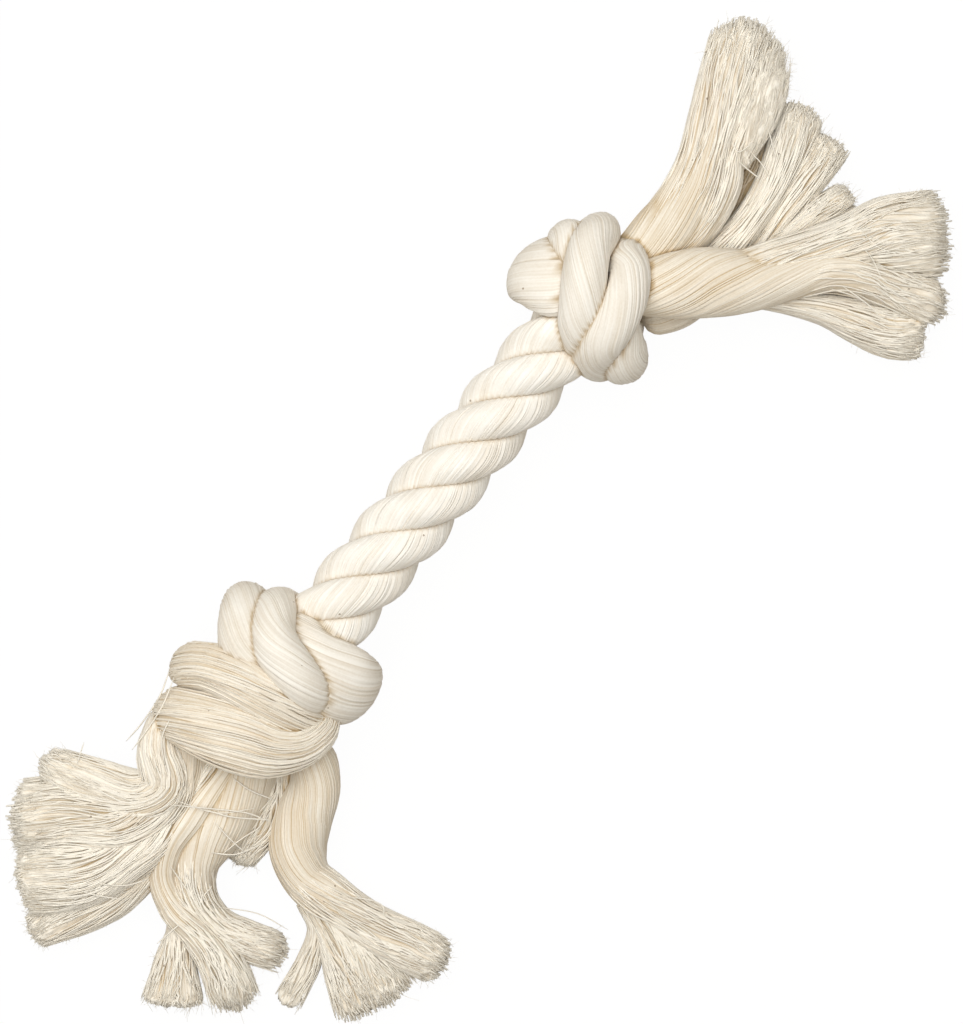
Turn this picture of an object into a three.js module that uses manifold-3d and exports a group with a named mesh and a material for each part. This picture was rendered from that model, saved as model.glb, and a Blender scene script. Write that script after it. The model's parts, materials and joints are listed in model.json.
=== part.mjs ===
// A cotton rope dog toy: three-strand laid rope, a knot near each end tied with the strands, and the
// strand ends unlaid into frayed yarn tassels. Millimetres, +Z up. The rope runs along +X from the
// tail knot to the head knot, and the toy lies on the plane Z = 0.
import * as THREE from "three";
import { mergeVertices } from "three/addons/utils/BufferGeometryUtils.js";
import Module from "manifold-3d";

const wasm = await Module();
wasm.setup();

// Rope: the lobes of the three strands touch a circle of the rope's diameter.
const ROPE_DIAMETER = 21.5;
const LOBE_RADIUS = 6.6;
const LAY_LENGTH = 44.7;
const LAY_PHASE = 0.82;
const ROPE_LENGTH = 92;
const BEND_LENGTH = 22;
const STRAND_GAP = 0.4;
const RING_STEP = 3.4;
const LOBE_STEPS = 6;

// Knots: each centre lies this far past the end of the open rope, and the rope runs into the knot.
const KNOT_INSET = 16;
const ROPE_RUN_IN = 6;
const ROPE_HEIGHT = 17.7;
const TURN_DIAMETER = 10.5;
const TURN_SIDES = 9;
const TURN_STEPS = 2;

// Tassels: flutes stand for the locks of yarn, and the cut ends are ragged.
const TASSEL_SIDES = 15;
const ROOT_STEPS = 1;
const BRUSH_STEPS = 2;
const FLUTES = 5;
const FLUTE_DEPTH = 0.12;
const FLUTE_TURN = 0.09;
const RAGGED_END = 2.2;
const WISP_SIDES = 8;

// Pieces that are pulled against each other keep this gap.
const CLEARANCE = 0.35;

const COTTON = 0xf1eadb;
const FRAYED_COTTON = 0xe6dbc4;
const KNOT_COTTON = 0xece3d4;
const COTTON_ROUGHNESS = 0.9;
const STRANDS = ["a", "b", "c"];

const HEAD_KNOT = new THREE.Vector3(ROPE_LENGTH / 2 + KNOT_INSET, 0, ROPE_HEIGHT);
const TAIL_KNOT = new THREE.Vector3(-ROPE_LENGTH / 2 - KNOT_INSET, 0, ROPE_HEIGHT);

// Routes are points about the knot's centre: X, Y, Z, then width and thickness where they change.
const HEAD_TURN_A = [
  [-4.3, -3, -13.4], [0.5, 1.5, -13.7], [5.5, 5.5, -12.3], [10, 8.5, -8], [12.3, 9.8, -1.5],
  [11.5, 9.4, 5], [8.5, 8.2, 10], [3, 5.4, 12.8], [-3.3, 1.5, 13], [-8, -1.5, 10.5], [-10.5, -4, 6],
  [-11, -6.5, 0], [-10, -8, -6.5], [-7.3, -6.3, -11],
];
const HEAD_TURN_B = [
  [10.5, -4, -11.5], [13, -0.8, -7.5], [13.5, 0.8, -1], [12.8, 0.3, 5], [8.8, -3.3, 10], [3.1, -6.6, 12.3],
  [-3.6, -9.2, 12], [-8.8, -10.3, 8.5], [-11.8, -11.5, 3], [-12, -13.5, -4], [-9.5, -13.8, -9.5],
  [-3, -11.5, -13], [4, -8, -13.5],
];
const HEAD_TURN_C = [
  [3, 7, -12], [5.8, 12, -8], [6.8, 13.8, -2], [6, 13.2, 4.5], [2, 8.5, 5], [0, 0, 2.5], [-2, -9, 3.5],
  [-5, -14.3, 3.5], [-6.2, -16.6, -1.5], [-5, -15.5, -7.5], [-2, -10, -11],
];
const HEAD_BIGHT = [
  [3, 4, 3, 18, 10], [-0.5, 8.3, 5.5, 21, 10], [-3.7, 12.5, 4.5, 22, 10], [-5.7, 15, 0, 22, 10],
  [-5.2, 14.2, -6, 20, 10], [-3.5, 10, -10, 18, 10], [-1, 4, -11.5, 17, 10],
];
const HEAD_CORE = [
  [-12, 0, 0, 15, 13], [-6, 0, 0, 19, 16], [3, -1, 0, 20, 16], [10, -2, 0, 17, 15], [16, -4, 0, 15, 13],
];

const TAIL_TURN_A = [
  [-3.3, -1.5, -13.3], [-0.8, 5, -13.7], [2.3, 12, -12.5], [4.6, 17, -8], [5, 19.8, -2], [3.8, 19.3, 4],
  [-0.3, 16.8, 8.8], [-5, 12.3, 11.5], [-7.3, 6.8, 12.3], [-8.3, 0, 10.8], [-8.5, -6.5, 7],
  [-7.8, -11, 1], [-6.8, -11.5, -5.5], [-5, -7, -11],
];
const TAIL_TURN_B = [
  [8, -0.5, -13.5], [10, 4.5, -12.5], [11.3, 9.5, -9.5], [11, 12, -4], [9.8, 12.5, 3], [7, 11.2, 8.5],
  [3.6, 8.8, 12], [0.9, 4.7, 13.5], [-0.9, -1.2, 13.5], [-2.3, -7.2, 12], [-3, -11.8, 8.3],
  [-3, -14.5, 2.5], [-1.8, -14.5, -5], [1.5, -11.5, -10.8], [5.3, -6, -13.5],
];
const TAIL_BIGHT = [
  [5.5, 3, -1, 12, 8], [4.5, -3.5, 5, 16, 9], [4.2, -9.5, 7.5, 19, 10], [4.3, -14, 4.8, 19, 10],
  [4.5, -16, -0.5, 19, 10], [4.5, -14.3, -6.5, 18, 10], [5, -8, -10, 16, 10],
];
const TAIL_WRAP_A = [
  [-14.5, 11, -11, 10, 9], [-16, 17.5, -7.5, 10.5, 9], [-16.8, 20.5, -1.5, 12, 9],
  [-16.2, 19.5, 4.5, 12.5, 9.5], [-13.4, 14.2, 9.5, 12, 10], [-11.9, 6, 11.8, 11.5, 10],
  [-11, -2.4, 11.3, 11, 10], [-10, -9.3, 8.8, 10, 9], [-8.5, -14, 4, 9, 9], [-8, -15.5, -2, 9, 9],
  [-9, -13, -7.5, 9, 9], [-11, -6, -11.5, 10, 9], [-13, 3, -12.5, 10, 9],
];
const TAIL_WRAP_B = [
  [-17, -11, -9.5, 12, 10], [-21, -4, -12, 13, 11], [-24, 5, -12, 13, 11], [-27, 12.5, -8, 13, 11],
  [-28.5, 15.5, -2, 14, 11], [-28, 14.2, 5, 15, 11], [-25.9, 7.9, 10, 16.5, 12],
  [-23.5, -0.3, 12, 17, 12], [-21, -8.5, 11.3, 15, 12], [-16.3, -14, 9, 12, 11],
  [-10.5, -16.5, 6, 10.5, 10], [-6.5, -16, 1, 9, 9],
];
const TAIL_CORE = [
  [12, 0, 0, 15, 13], [5, 0, 0, 20, 16], [-7, 0, 0, 21, 17], [-18, 0, 0, 20, 16], [-27, 0, 0, 18, 14],
];

// A tassel's limp root takes the first stretches of its route, and the brush takes the rest.
const HEAD_TASSELS = {
  right: {
    rootStretches: 2,
    route: [
      [6, -5, 2, 13, 12], [13.5, -13, 4.5, 17, 14.5], [21, -20.5, 3.8, 18.5, 15.5],
      [29, -27.3, 1.5, 17, 15.5], [38, -35.5, -3, 16.5, 16], [46.5, -45.5, -7, 25, 20],
      [54, -55, -8, 37, 21], [60, -61.5, -8.5, 36, 18],
    ],
  },
  left: {
    rootStretches: 2,
    route: [
      [9, 0, 0, 11, 11], [18, -2.5, -0.5, 13.5, 13], [28, -3.7, -2.5, 16.5, 15.5],
      [38, -2.9, -6, 17.5, 17.5], [50, -0.3, -8.8, 18.5, 19], [60, 2.3, -9, 20, 19],
      [69, 6, -9, 21.5, 19], [77.5, 10.5, -9.5, 19, 16],
    ],
  },
  middle: {
    rootStretches: 4,
    route: [
      [3, -13, -6, 10, 10], [12, -18.5, -7.5, 11.5, 11], [21, -19.5, -9, 12, 12],
      [30, -17.9, -9.5, 12.5, 13], [39, -17, -10, 12, 14.5], [47, -17.6, -10, 15, 16],
      [55, -18.2, -10, 18.5, 17], [63, -17.7, -10, 20, 17], [70, -17, -10, 19, 16],
      [75, -16.5, -10.5, 15, 13],
    ],
  },
};
const TAIL_TASSELS = {
  left: {
    rootStretches: 2,
    route: [
      [-22, 8, 1, 13, 11], [-32, 11, 0.5, 17, 13], [-42, 11.3, -2, 18.5, 16], [-53, 13.5, -5.5, 26, 20],
      [-63, 14.3, -7, 33, 23], [-73, 14, -7, 38, 23], [-82, 13.5, -7, 35.5, 23], [-90, 12.5, -8, 25, 18],
    ],
  },
  right: {
    rootStretches: 2,
    route: [
      [-12, -14, -3, 12, 11], [-20, -20.5, -4.5, 15, 13.5], [-29, -27.3, -7, 16.5, 15],
      [-36, -32.8, -9.5, 14.5, 15.5], [-41, -41.5, -10.5, 13, 15.5], [-44, -53.5, -10.5, 16.5, 16],
      [-46.8, -66, -10.5, 25, 16], [-48.5, -75, -11.5, 27, 13],
    ],
  },
  middle: {
    rootStretches: 2,
    route: [
      [-19, -5, -2, 12, 11], [-30, -8.3, -3.5, 17, 14], [-41, -10.3, -6, 19, 16.5], [-51, -11, -9, 17.5, 17],
      [-60, -14, -10.5, 14.5, 16], [-65.5, -21.5, -10.5, 13.5, 15.5], [-70, -31, -10.5, 19, 16],
      [-76, -38, -10, 28, 17], [-80.5, -43, -11, 26, 14],
    ],
  },
};
const TAIL_WISP = [
  [-45, -49, -11.5, 4, 5], [-52, -51, -14, 4, 5], [-60, -52.7, -15.4, 5, 5], [-68, -54, -15.4, 6, 5],
];

const UP = new THREE.Vector3(0, 0, 1);

/** A closed mesh through rings of points, with a fan over each end. From column `flipFrom` on, the
 * quads take their other diagonal, so that two twisted faces that lie side by side stay parallel. */
function loft(rings, flipFrom = Infinity) {
  const sides = rings[0].length;
  const points = rings.flat();
  const middles = [rings[0], rings[rings.length - 1]].map((ring) =>
    ring.reduce((sum, point) => sum.add(point), new THREE.Vector3()).divideScalar(sides),
  );
  const index = [];
  for (let ring = 0; ring + 1 < rings.length; ring += 1) {
    for (let side = 0; side < sides; side += 1) {
      const next = (side + 1) % sides;
      const [a, b] = [ring * sides + side, ring * sides + next];
      const [d, c] = [a + sides, b + sides];
      index.push(...(side < flipFrom ? [a, b, c, a, c, d] : [a, b, d, b, c, d]));
    }
  }
  const last = (rings.length - 1) * sides;
  for (let side = 0; side < sides; side += 1) {
    const next = (side + 1) % sides;
    index.push(points.length, next, side);
    index.push(points.length + 1, last + side, last + next);
  }
  const geometry = new THREE.BufferGeometry().setFromPoints([...points, ...middles]);
  geometry.setIndex(index);
  return geometry;
}

function toSolid(geometry) {
  const merged = mergeVertices(geometry);
  return new wasm.Manifold(
    new wasm.Mesh({
      numProp: 3,
      vertProperties: merged.attributes.position.array,
      triVerts: Uint32Array.from(merged.index.array),
    }),
  );
}

function toGeometry(solid) {
  const { vertProperties, triVerts } = solid.getMesh();
  const geometry = new THREE.BufferGeometry();
  geometry.setAttribute("position", new THREE.BufferAttribute(vertProperties, 3));
  geometry.setIndex(new THREE.BufferAttribute(triVerts, 1));
  return geometry;
}

/** Cuts the pieces that press on a solid out of it, and keeps its main body. */
function press(solid, pressers) {
  const cut = pressers.reduce((body, presser) => body.subtract(presser), solid);
  return cut.decompose().reduce((best, body) => (body.volume() > best.volume() ? body : best));
}

/** The section of one strand: a third of the rope, with a round lobe outside and flat flanks inside.
 * Each point is a distance along the strand's own radius and one square to it. */
function strandSection() {
  const lobeCentre = ROPE_DIAMETER / 2 - LOBE_RADIUS;
  const heel = STRAND_GAP / 2 / Math.sin(Math.PI / 3);
  const reach = lobeCentre - heel;
  const flank = (reach + Math.sqrt(4 * LOBE_RADIUS ** 2 - 3 * reach ** 2)) / 2;
  const valley = [heel + flank / 2, (flank * Math.sqrt(3)) / 2];
  const sweep = Math.atan2(valley[1], valley[0] - lobeCentre);
  const lobe = [];
  for (let step = 0; step <= LOBE_STEPS; step += 1) {
    const angle = sweep * ((2 * step) / LOBE_STEPS - 1);
    lobe.push([lobeCentre + LOBE_RADIUS * Math.cos(angle), LOBE_RADIUS * Math.sin(angle)]);
  }
  const half = [(heel + valley[0]) / 2, valley[1] / 2];
  return [[heel, 0], [half[0], -half[1]], ...lobe, half];
}

/** One strand of the rope from one place along X to another, turning right-handed about the rope. */
function strand(number, from, to) {
  const section = strandSection();
  const steps = Math.ceil((to - from) / RING_STEP);
  const rings = [];
  for (let step = 0; step <= steps; step += 1) {
    const x = THREE.MathUtils.lerp(from, to, step / steps);
    const turn = 2 * Math.PI * (x / LAY_LENGTH + number / STRANDS.length) + LAY_PHASE;
    const [cos, sin] = [Math.cos(turn), Math.sin(turn)];
    rings.push(
      section.map(([p, q]) => new THREE.Vector3(x, p * cos - q * sin, ROPE_HEIGHT + p * sin + q * cos)),
    );
  }
  return loft(rings, section.length - 2);
}

function routeCurve(route) {
  return new THREE.CatmullRomCurve3(route.map(([x, y, z]) => new THREE.Vector3(x, y, z)));
}

/** A tube along a route about a knot's centre. Its thickness lies along the direction that `outward`
 * gives at each point, and its width across it. `shape` swells a ring's points or slips them along
 * the route, and `grow` fattens the tube on every side. */
function tube(route, centre, { outward, width, thickness, sides, steps, from = 0, to = 1, grow = 0, shape }) {
  const place = routeCurve(route);
  const size = new THREE.CatmullRomCurve3(
    route.map(([, , , w = width, h = thickness]) => new THREE.Vector3(w, h, 0)),
  );
  const count = Math.round((route.length - 1) * steps * (to - from));
  const spread = grow / Math.cos(Math.PI / sides);
  const rings = [];
  for (let step = 0; step <= count; step += 1) {
    const t = THREE.MathUtils.lerp(from, to, step / count);
    const along = place.getTangent(t);
    const point = place.getPoint(t);
    const across = outward(point).cross(along).normalize();
    const out = along.clone().cross(across);
    const { x: w, y: h } = size.getPoint(t);
    const endShift = (step === 0 ? -grow : 0) + (step === count ? grow : 0);
    const ring = [];
    for (let side = 0; side < sides; side += 1) {
      const angle = (2 * Math.PI * side) / sides;
      const { swell = 1, slip = 0 } = shape ? shape(angle, step, count) : {};
      ring.push(
        point
          .clone()
          .add(centre)
          .addScaledVector(across, ((w / 2) * swell + spread) * Math.cos(angle))
          .addScaledVector(out, ((h / 2) * swell + spread) * Math.sin(angle))
          .addScaledVector(along, endShift + slip),
      );
    }
    rings.push(ring);
  }
  return loft(rings);
}

/** Locks of yarn that wind round a tassel, with a ragged cut at its end. */
function frayed(angle, step, count) {
  const wave = Math.cos(FLUTES * (angle - FLUTE_TURN * step));
  const slip = step === count ? RAGGED_END * Math.cos(2 * FLUTES * angle) : 0;
  return { swell: 1 - (FLUTE_DEPTH / 2) * (1 - wave), slip };
}

const turnForm = {
  outward: (point) => new THREE.Vector3(0, point.y, point.z),
  width: TURN_DIAMETER,
  thickness: TURN_DIAMETER,
  sides: TURN_SIDES,
  steps: TURN_STEPS,
  color: KNOT_COTTON,
};
const coreForm = { ...turnForm, outward: () => UP.clone() };
const wrapForm = { ...turnForm, color: FRAYED_COTTON };
const rootForm = { ...coreForm, color: FRAYED_COTTON, steps: ROOT_STEPS };
const brushForm = { ...rootForm, sides: TASSEL_SIDES, steps: BRUSH_STEPS, shape: frayed };
const wispForm = { ...rootForm, sides: WISP_SIDES };

const floor = toSolid(
  new THREE.BoxGeometry(4 * ROPE_LENGTH, 4 * ROPE_LENGTH, ROPE_HEIGHT)
    .deleteAttribute("normal")
    .deleteAttribute("uv")
    .translate(0, 0, -ROPE_HEIGHT / 2),
);

const toy = new THREE.Group();

function addPiece(group, name, solid, color) {
  const material = new THREE.MeshStandardMaterial({ color, roughness: COTTON_ROUGHNESS, metalness: 0 });
  const mesh = new THREE.Mesh(toGeometry(solid), material);
  mesh.name = name;
  group.add(mesh);
}

/** Adds the pieces of one end in the order in which they lie on each other: each is cut by the ones
 * before it, and flat where it meets the ground. Returns the cutters that the rope meets. */
function addEnd(pieces, centre) {
  const group = new THREE.Group();
  const pressers = [];
  for (const [name, route, form] of pieces) {
    const solid = toSolid(tube(route, centre, form));
    addPiece(group, name, press(solid, [...pressers, floor]), form.color);
    pressers.push(toSolid(tube(route, centre, { ...form, shape: undefined, grow: CLEARANCE })));
  }
  toy.add(group);
  return pressers;
}

/** The brush and the limp root of each tassel of one end. */
function tassels(end, all) {
  return Object.entries(all).flatMap(([side, { rootStretches, route }]) => {
    const split = rootStretches / (route.length - 1);
    const gap = CLEARANCE / routeCurve(route).getLength();
    return [
      [`${end}_tassel_${side}`, route, { ...brushForm, from: split + gap }],
      [`${end}_tassel_${side}_root`, route, { ...rootForm, to: split }],
    ];
  });
}

const headPressers = addEnd(
  [
    ["head_knot_turn_a", HEAD_TURN_A, turnForm],
    ["head_knot_turn_b", HEAD_TURN_B, turnForm],
    ["head_knot_turn_c", HEAD_TURN_C, turnForm],
    ["head_knot_bight", HEAD_BIGHT, turnForm],
    ...tassels("head", HEAD_TASSELS),
    ["head_knot_core", HEAD_CORE, coreForm],
  ],
  HEAD_KNOT,
);
const tailPressers = addEnd(
  [
    ["tail_knot_turn_b", TAIL_TURN_B, turnForm],
    ["tail_knot_turn_a", TAIL_TURN_A, turnForm],
    ["tail_knot_bight", TAIL_BIGHT, turnForm],
    ["tail_knot_yarn_wrap_b", TAIL_WRAP_B, wrapForm],
    ["tail_knot_yarn_wrap_a", TAIL_WRAP_A, wrapForm],
    ...tassels("tail", TAIL_TASSELS),
    ["tail_tassel_right_wisp", TAIL_WISP, wispForm],
    ["tail_knot_core", TAIL_CORE, coreForm],
  ],
  TAIL_KNOT,
);

// The rope: each strand has a length into the tail knot, one that flexes and one into the head knot.
const rope = new THREE.Group();
const ropeEnd = ROPE_LENGTH / 2 + ROPE_RUN_IN;
const bendEnd = BEND_LENGTH / 2;
STRANDS.forEach((letter, number) => {
  const tail = toSolid(strand(number, -ropeEnd, -bendEnd - CLEARANCE));
  const middle = toSolid(strand(number, -bendEnd, bendEnd));
  const head = toSolid(strand(number, bendEnd + CLEARANCE, ropeEnd));
  addPiece(rope, `rope_tail_strand_${letter}`, press(tail, tailPressers), COTTON);
  addPiece(rope, `rope_middle_strand_${letter}`, middle, COTTON);
  addPiece(rope, `rope_head_strand_${letter}`, press(head, headPressers), COTTON);
});
toy.add(rope);

// The origin is the middle of the toy's footprint on the ground.
const footprint = new THREE.Box3().setFromObject(toy);
const middle = footprint.getCenter(new THREE.Vector3());
toy.position.set(-middle.x, -middle.y, -footprint.min.z);

export default toy;
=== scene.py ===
"""The looks of a cotton rope dog toy: laid rope, two knots and six frayed tassels.

Lengths are in metres, apart from the rows of the routes and strays, which are in millimetres.
"""

import json
import logging
import math
from dataclasses import dataclass, field
from enum import Enum
from typing import Iterable, Sequence

import bmesh
import bpy
import numpy as np
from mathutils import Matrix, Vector
from mathutils.bvhtree import BVHTree


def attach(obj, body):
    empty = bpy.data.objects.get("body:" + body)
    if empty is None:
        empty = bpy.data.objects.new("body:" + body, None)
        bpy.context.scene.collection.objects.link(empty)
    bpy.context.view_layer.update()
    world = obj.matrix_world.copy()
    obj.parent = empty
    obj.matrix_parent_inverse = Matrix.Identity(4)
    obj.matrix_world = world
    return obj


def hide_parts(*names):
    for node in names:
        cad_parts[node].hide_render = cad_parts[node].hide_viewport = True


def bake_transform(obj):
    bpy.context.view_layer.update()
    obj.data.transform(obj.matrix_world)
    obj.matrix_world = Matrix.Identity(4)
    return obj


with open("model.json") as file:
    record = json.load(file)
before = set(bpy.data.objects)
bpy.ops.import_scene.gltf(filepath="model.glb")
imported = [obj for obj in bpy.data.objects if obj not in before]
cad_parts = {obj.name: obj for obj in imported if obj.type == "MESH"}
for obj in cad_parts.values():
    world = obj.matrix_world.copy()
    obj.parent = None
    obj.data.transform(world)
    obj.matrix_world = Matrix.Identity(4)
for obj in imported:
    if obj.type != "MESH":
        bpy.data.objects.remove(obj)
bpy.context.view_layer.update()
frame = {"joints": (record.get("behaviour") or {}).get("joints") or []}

log = logging.getLogger("rope_toy")

Rows = Sequence[Sequence[float]]
Pair = tuple[float, float]
Triple = tuple[float, float, float]
Input = bpy.types.NodeSocket | float | tuple[float, ...]

# The rope, as the solids have it: the middle of the open rope is the hinge of its bend.
JOINTS = {joint["name"]: joint for joint in frame["joints"]}
ROPE_MIDDLE = np.array(JOINTS["rope_bend"]["pos_m"])
KNOT_DISTANCE = 0.062
HEAD_KNOT = ROPE_MIDDLE + (KNOT_DISTANCE, 0, 0)
TAIL_KNOT = ROPE_MIDDLE - (KNOT_DISTANCE, 0, 0)
GROUND = 0.0003
MILLIMETRES = 1000.0

# The attributes that carry tint and lay to the shader, and the columns of points to a yarn.
TINT = "tint"
LAY = "lay"
COLUMNS = 3

# Routes from the middle of a knot: X, Y and Z, then width and thickness where they aren't the usual ones.
HEAD_TURN_A = (
    (-4.3, -3, -13.4), (0.5, 1.5, -13.7), (5.5, 5.5, -12.3), (10, 8, -8, 13, 11.6),
    (12.3, 9.2, -1.5, 13.5, 11.6), (11.5, 9, 5, 13.2, 11.6), (8.3, 8.7, 10, 11.6, 11.6), (2.8, 5.8, 12.8),
    (-3.4, 1.7, 13), (-8, -1.5, 10.5), (-10.5, -4, 6), (-11, -6.5, 0), (-10, -8, -6.5), (-7.3, -6.3, -11),
)
HEAD_TURN_B = (
    (10.5, -4.5, -11.5), (12.2, -1.8, -7.5), (12.4, -0.6, -1), (12, -1.1, 5, 11, 11.6),
    (9, -4.1, 10, 10.8, 11.6), (3.5, -6.7, 12.3), (-3.2, -8.2, 12.2, 12.5, 12), (-8.2, -8.2, 9, 14, 13),
    (-11.2, -9, 3, 14, 13), (-11.5, -11.5, -4, 12.5, 12), (-9.5, -12.5, -9.5), (-3, -11.5, -13),
    (4, -8, -13.5),
)
HEAD_TURN_C = (
    (3, 7, -12), (5.8, 12, -8), (6.8, 13.8, -2), (6, 13.2, 4.5), (2, 8.5, 5), (0, 0, 2.5), (-2, -9, 3.5),
    (-6, -13.8, 3.5, 13.5, 12.5), (-7.8, -16.3, -1.5, 14, 12.5), (-6.5, -15.3, -7.5, 13, 12),
    (-2, -10, -11),
)
HEAD_BIGHT = (
    (-1, 3.5, 3, 20, 11), (-2.5, 8.5, 5.5, 21.5, 12), (-3.6, 13, 4.5, 21.2, 12.5),
    (-4.2, 15.7, 0, 20.5, 12.5), (-3.8, 15, -6, 19.5, 12), (-2.5, 11, -10, 18, 10),
    (-1, 4, -11.5, 17, 10),
)
HEAD_CORE = (
    (-12, 0, 0, 15, 13), (-6, 0, 0, 19, 16), (3, -1, 0, 20, 16), (10, -2, 0, 17, 15), (16, -4, 0, 15, 13),
)
TAIL_TURN_A = (
    (-3.3, -1.5, -13.3), (-0.8, 5, -13.7), (2.3, 12, -12.5), (4.2, 16.8, -8), (4.6, 19.3, -2),
    (3.4, 18.8, 4), (-0.3, 16.3, 8.8), (-4.5, 12.2, 10.5), (-6.5, 7.2, 8.5), (-7.5, 1, 4.5),
    (-7.5, -5, 1.5), (-7.2, -9, -2), (-6.5, -10.5, -6), (-5, -7, -11),
)
TAIL_TURN_B = (
    (8, -0.5, -13.5), (8.6, 4.5, -12.5), (9, 8.8, -9.5), (9, 11.3, -4), (8.5, 12.2, 3), (6.8, 11.3, 8.5),
    (3.6, 8.8, 12, 12.2, 12), (1.1, 4.7, 13.5, 12.8, 12.2), (-0.6, -1.2, 13.5, 12.8, 12.2),
    (-1.6, -6, 11.5, 12.2, 11.8), (-2, -9, 7.5), (-1.8, -10.2, 2), (-1.2, -10.2, -5), (1.5, -9.5, -10.8),
    (5.3, -6, -13.5),
)
TAIL_BIGHT = (
    (8.8, 6.5, 2, 10, 9), (7.6, 1.8, 6.2, 12.5, 10.2), (6, -5, 7.8, 16.5, 10.8),
    (4.8, -12.3, 6.2, 20.5, 11.2), (4.6, -16.8, 0, 20.2, 11.8), (4.5, -15.3, -6.5, 18, 11),
    (5, -8, -10, 16, 10),
)
TAIL_WRAP_A = (
    (-14.5, 11, -11, 10, 9), (-16, 17.5, -7.5, 10.5, 9), (-16.8, 20.5, -1.5, 12, 9),
    (-16.2, 19.7, 4.5, 12.5, 9.5), (-12.8, 14.2, 10.3, 12.5, 10.5), (-10.9, 6, 13, 12.2, 10.5),
    (-10.3, -2.4, 12.2, 11.2, 10), (-9.8, -9.3, 9, 10, 9), (-8.5, -14, 4, 9, 9), (-8, -15.5, -2, 9, 9),
    (-9, -13, -7.5, 9, 9), (-11, -6, -11.5, 10, 9), (-13, 3, -12.5, 10, 9),
)
TAIL_WRAP_B = (
    (-17, -11, -9.5, 12, 10), (-21, -4, -12, 13, 11), (-24, 5, -12, 13, 11), (-27, 12.5, -8, 13, 11),
    (-28.5, 15.5, -2, 14, 11), (-28, 14.2, 5, 15, 11), (-25.9, 7.9, 10, 16.5, 12),
    (-23.5, -0.3, 12, 17, 12), (-21, -8.5, 11.3, 15, 12), (-16.3, -14, 9, 12, 11),
    (-10.8, -16.5, 6, 10.5, 10), (-6.5, -15.5, 2, 9, 9), (-4.5, -11, 0, 8, 8),
)
TAIL_CORE = (
    (12, 0, 0, 15, 13), (5, 0, 0, 20, 16), (-7, 0, 0, 21, 17), (-18, 0, 0, 20, 16), (-27, 0, 0, 18, 14),
)

# The roots of the tassels.
HEAD_RIGHT = (
    (6, -5, 2, 13, 12), (13.5, -13, 4.5, 17, 14.5), (21, -20.5, 3.8, 18.5, 15.5),
    (28.5, -28.7, 2.2, 16.5, 14.5), (36, -35.8, 0.5, 13.5, 13), (43.5, -42.5, -1.5, 11.5, 12.5),
    (48.5, -51.5, -3.5, 10.5, 12), (51.5, -60.5, -6, 11.2, 12), (55, -70.5, -8, 12, 10.5),
)
HEAD_LEFT = (
    (9, 0, 0, 11, 11), (18, -2.5, -0.5, 14.5, 13.5), (28, -3.5, -1.5, 16, 15), (38, -3, -3, 13.5, 15.5),
    (48, 0, -5, 11.2, 16), (58, 4, -6, 11, 16.5), (68.5, 8, -7, 11.8, 16.5), (79.7, 12.5, -8, 12.5, 14.5),
)
HEAD_MIDDLE = (
    (3, -13, -6, 10, 10), (12, -18.5, -7.5, 11.5, 11), (21, -19.5, -9, 12.5, 12),
    (30, -18.8, -8.8, 11.5, 12.5), (40.5, -19, -8, 8.6, 13), (52, -17.8, -8.5, 9.3, 14.5),
    (63, -14.6, -9, 11, 15), (71.5, -11.3, -9.5, 12.5, 14),
)
TAIL_LEFT = (
    (-22, 8, 1, 13, 11), (-32, 9.5, 0, 16, 13), (-41, 6, -1.5, 17, 14.5), (-50, 4.5, -3, 16.5, 15.5),
    (-61, 9, -4.5, 18.5, 18), (-68.5, 20, -6.5, 20, 20), (-76.5, 29, -7.5, 20, 18),
)
TAIL_RIGHT = (
    (-12, -16, -3, 12, 11), (-20.4, -24.3, -4.5, 13.6, 13.5), (-28.6, -27.5, -6.5, 15.6, 15),
    (-36.3, -31.4, -8.5, 15.8, 15.5), (-41, -37.7, -9.5, 13.6, 15.5), (-41.8, -45.5, -9.5, 13, 14.5),
    (-41.2, -53.7, -9.7, 12, 14), (-40, -62.5, -10, 12, 13.5), (-38, -71.5, -10.5, 12.5, 12),
    (-36.5, -79, -11.2, 12, 11),
)
TAIL_MIDDLE = (
    (-19, -5, -2, 12, 11), (-30, -8.8, -3.5, 16.5, 14), (-41, -10.8, -5.5, 17.5, 16),
    (-50.5, -11.8, -7.5, 15, 16.5), (-58, -14.2, -9, 12, 15), (-63.5, -20, -10.2, 9.8, 14),
    (-65.5, -28, -10.6, 8.8, 12.8), (-64.3, -35.8, -11, 10, 11), (-61.5, -44.5, -12, 10, 9),
)

# The locks of the tassels, and the tail's wisp.
HEAD_LEFT_OUTER = (
    (11, 0, -1, 5, 6), (19.5, 0.8, -1, 7, 9), (29, 0, -1.5, 9.5, 12), (42.5, 2, -4, 8.5, 13),
    (55.5, 7.5, -7, 8.5, 14), (66, 12.5, -8, 8.5, 15), (76.2, 16.3, -8.5, 9, 13),
)
HEAD_LEFT_FOLD = (
    (12, -2.5, -2, 6, 8), (24, -9, -2.5, 8, 10), (34.5, -10, -3, 8.5, 12), (44, -8, -4.5, 8, 12),
    (52, -4, -6, 7, 13), (66, 0, -6.5, 9.5, 14), (78.7, 5.3, -7.5, 9.5, 13),
)
HEAD_LEFT_FELT = (
    (50, -8.5, -5.5, 3.5, 6), (54.5, -6.5, -5, 6, 8), (61, -3.5, -3, 10.5, 9), (70.5, -0.5, -3, 10.5, 8),
    (75.5, 1, -4, 7.5, 6),
)
HEAD_MIDDLE_TIPS = (
    (21, -20.5, -9.5, 6, 7), (36.5, -24.5, -10, 7, 8), (49.5, -24, -10, 8.5, 11),
    (60.5, -23, -10, 10.5, 13), (70.5, -22, -10.5, 12, 12),
)
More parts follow.
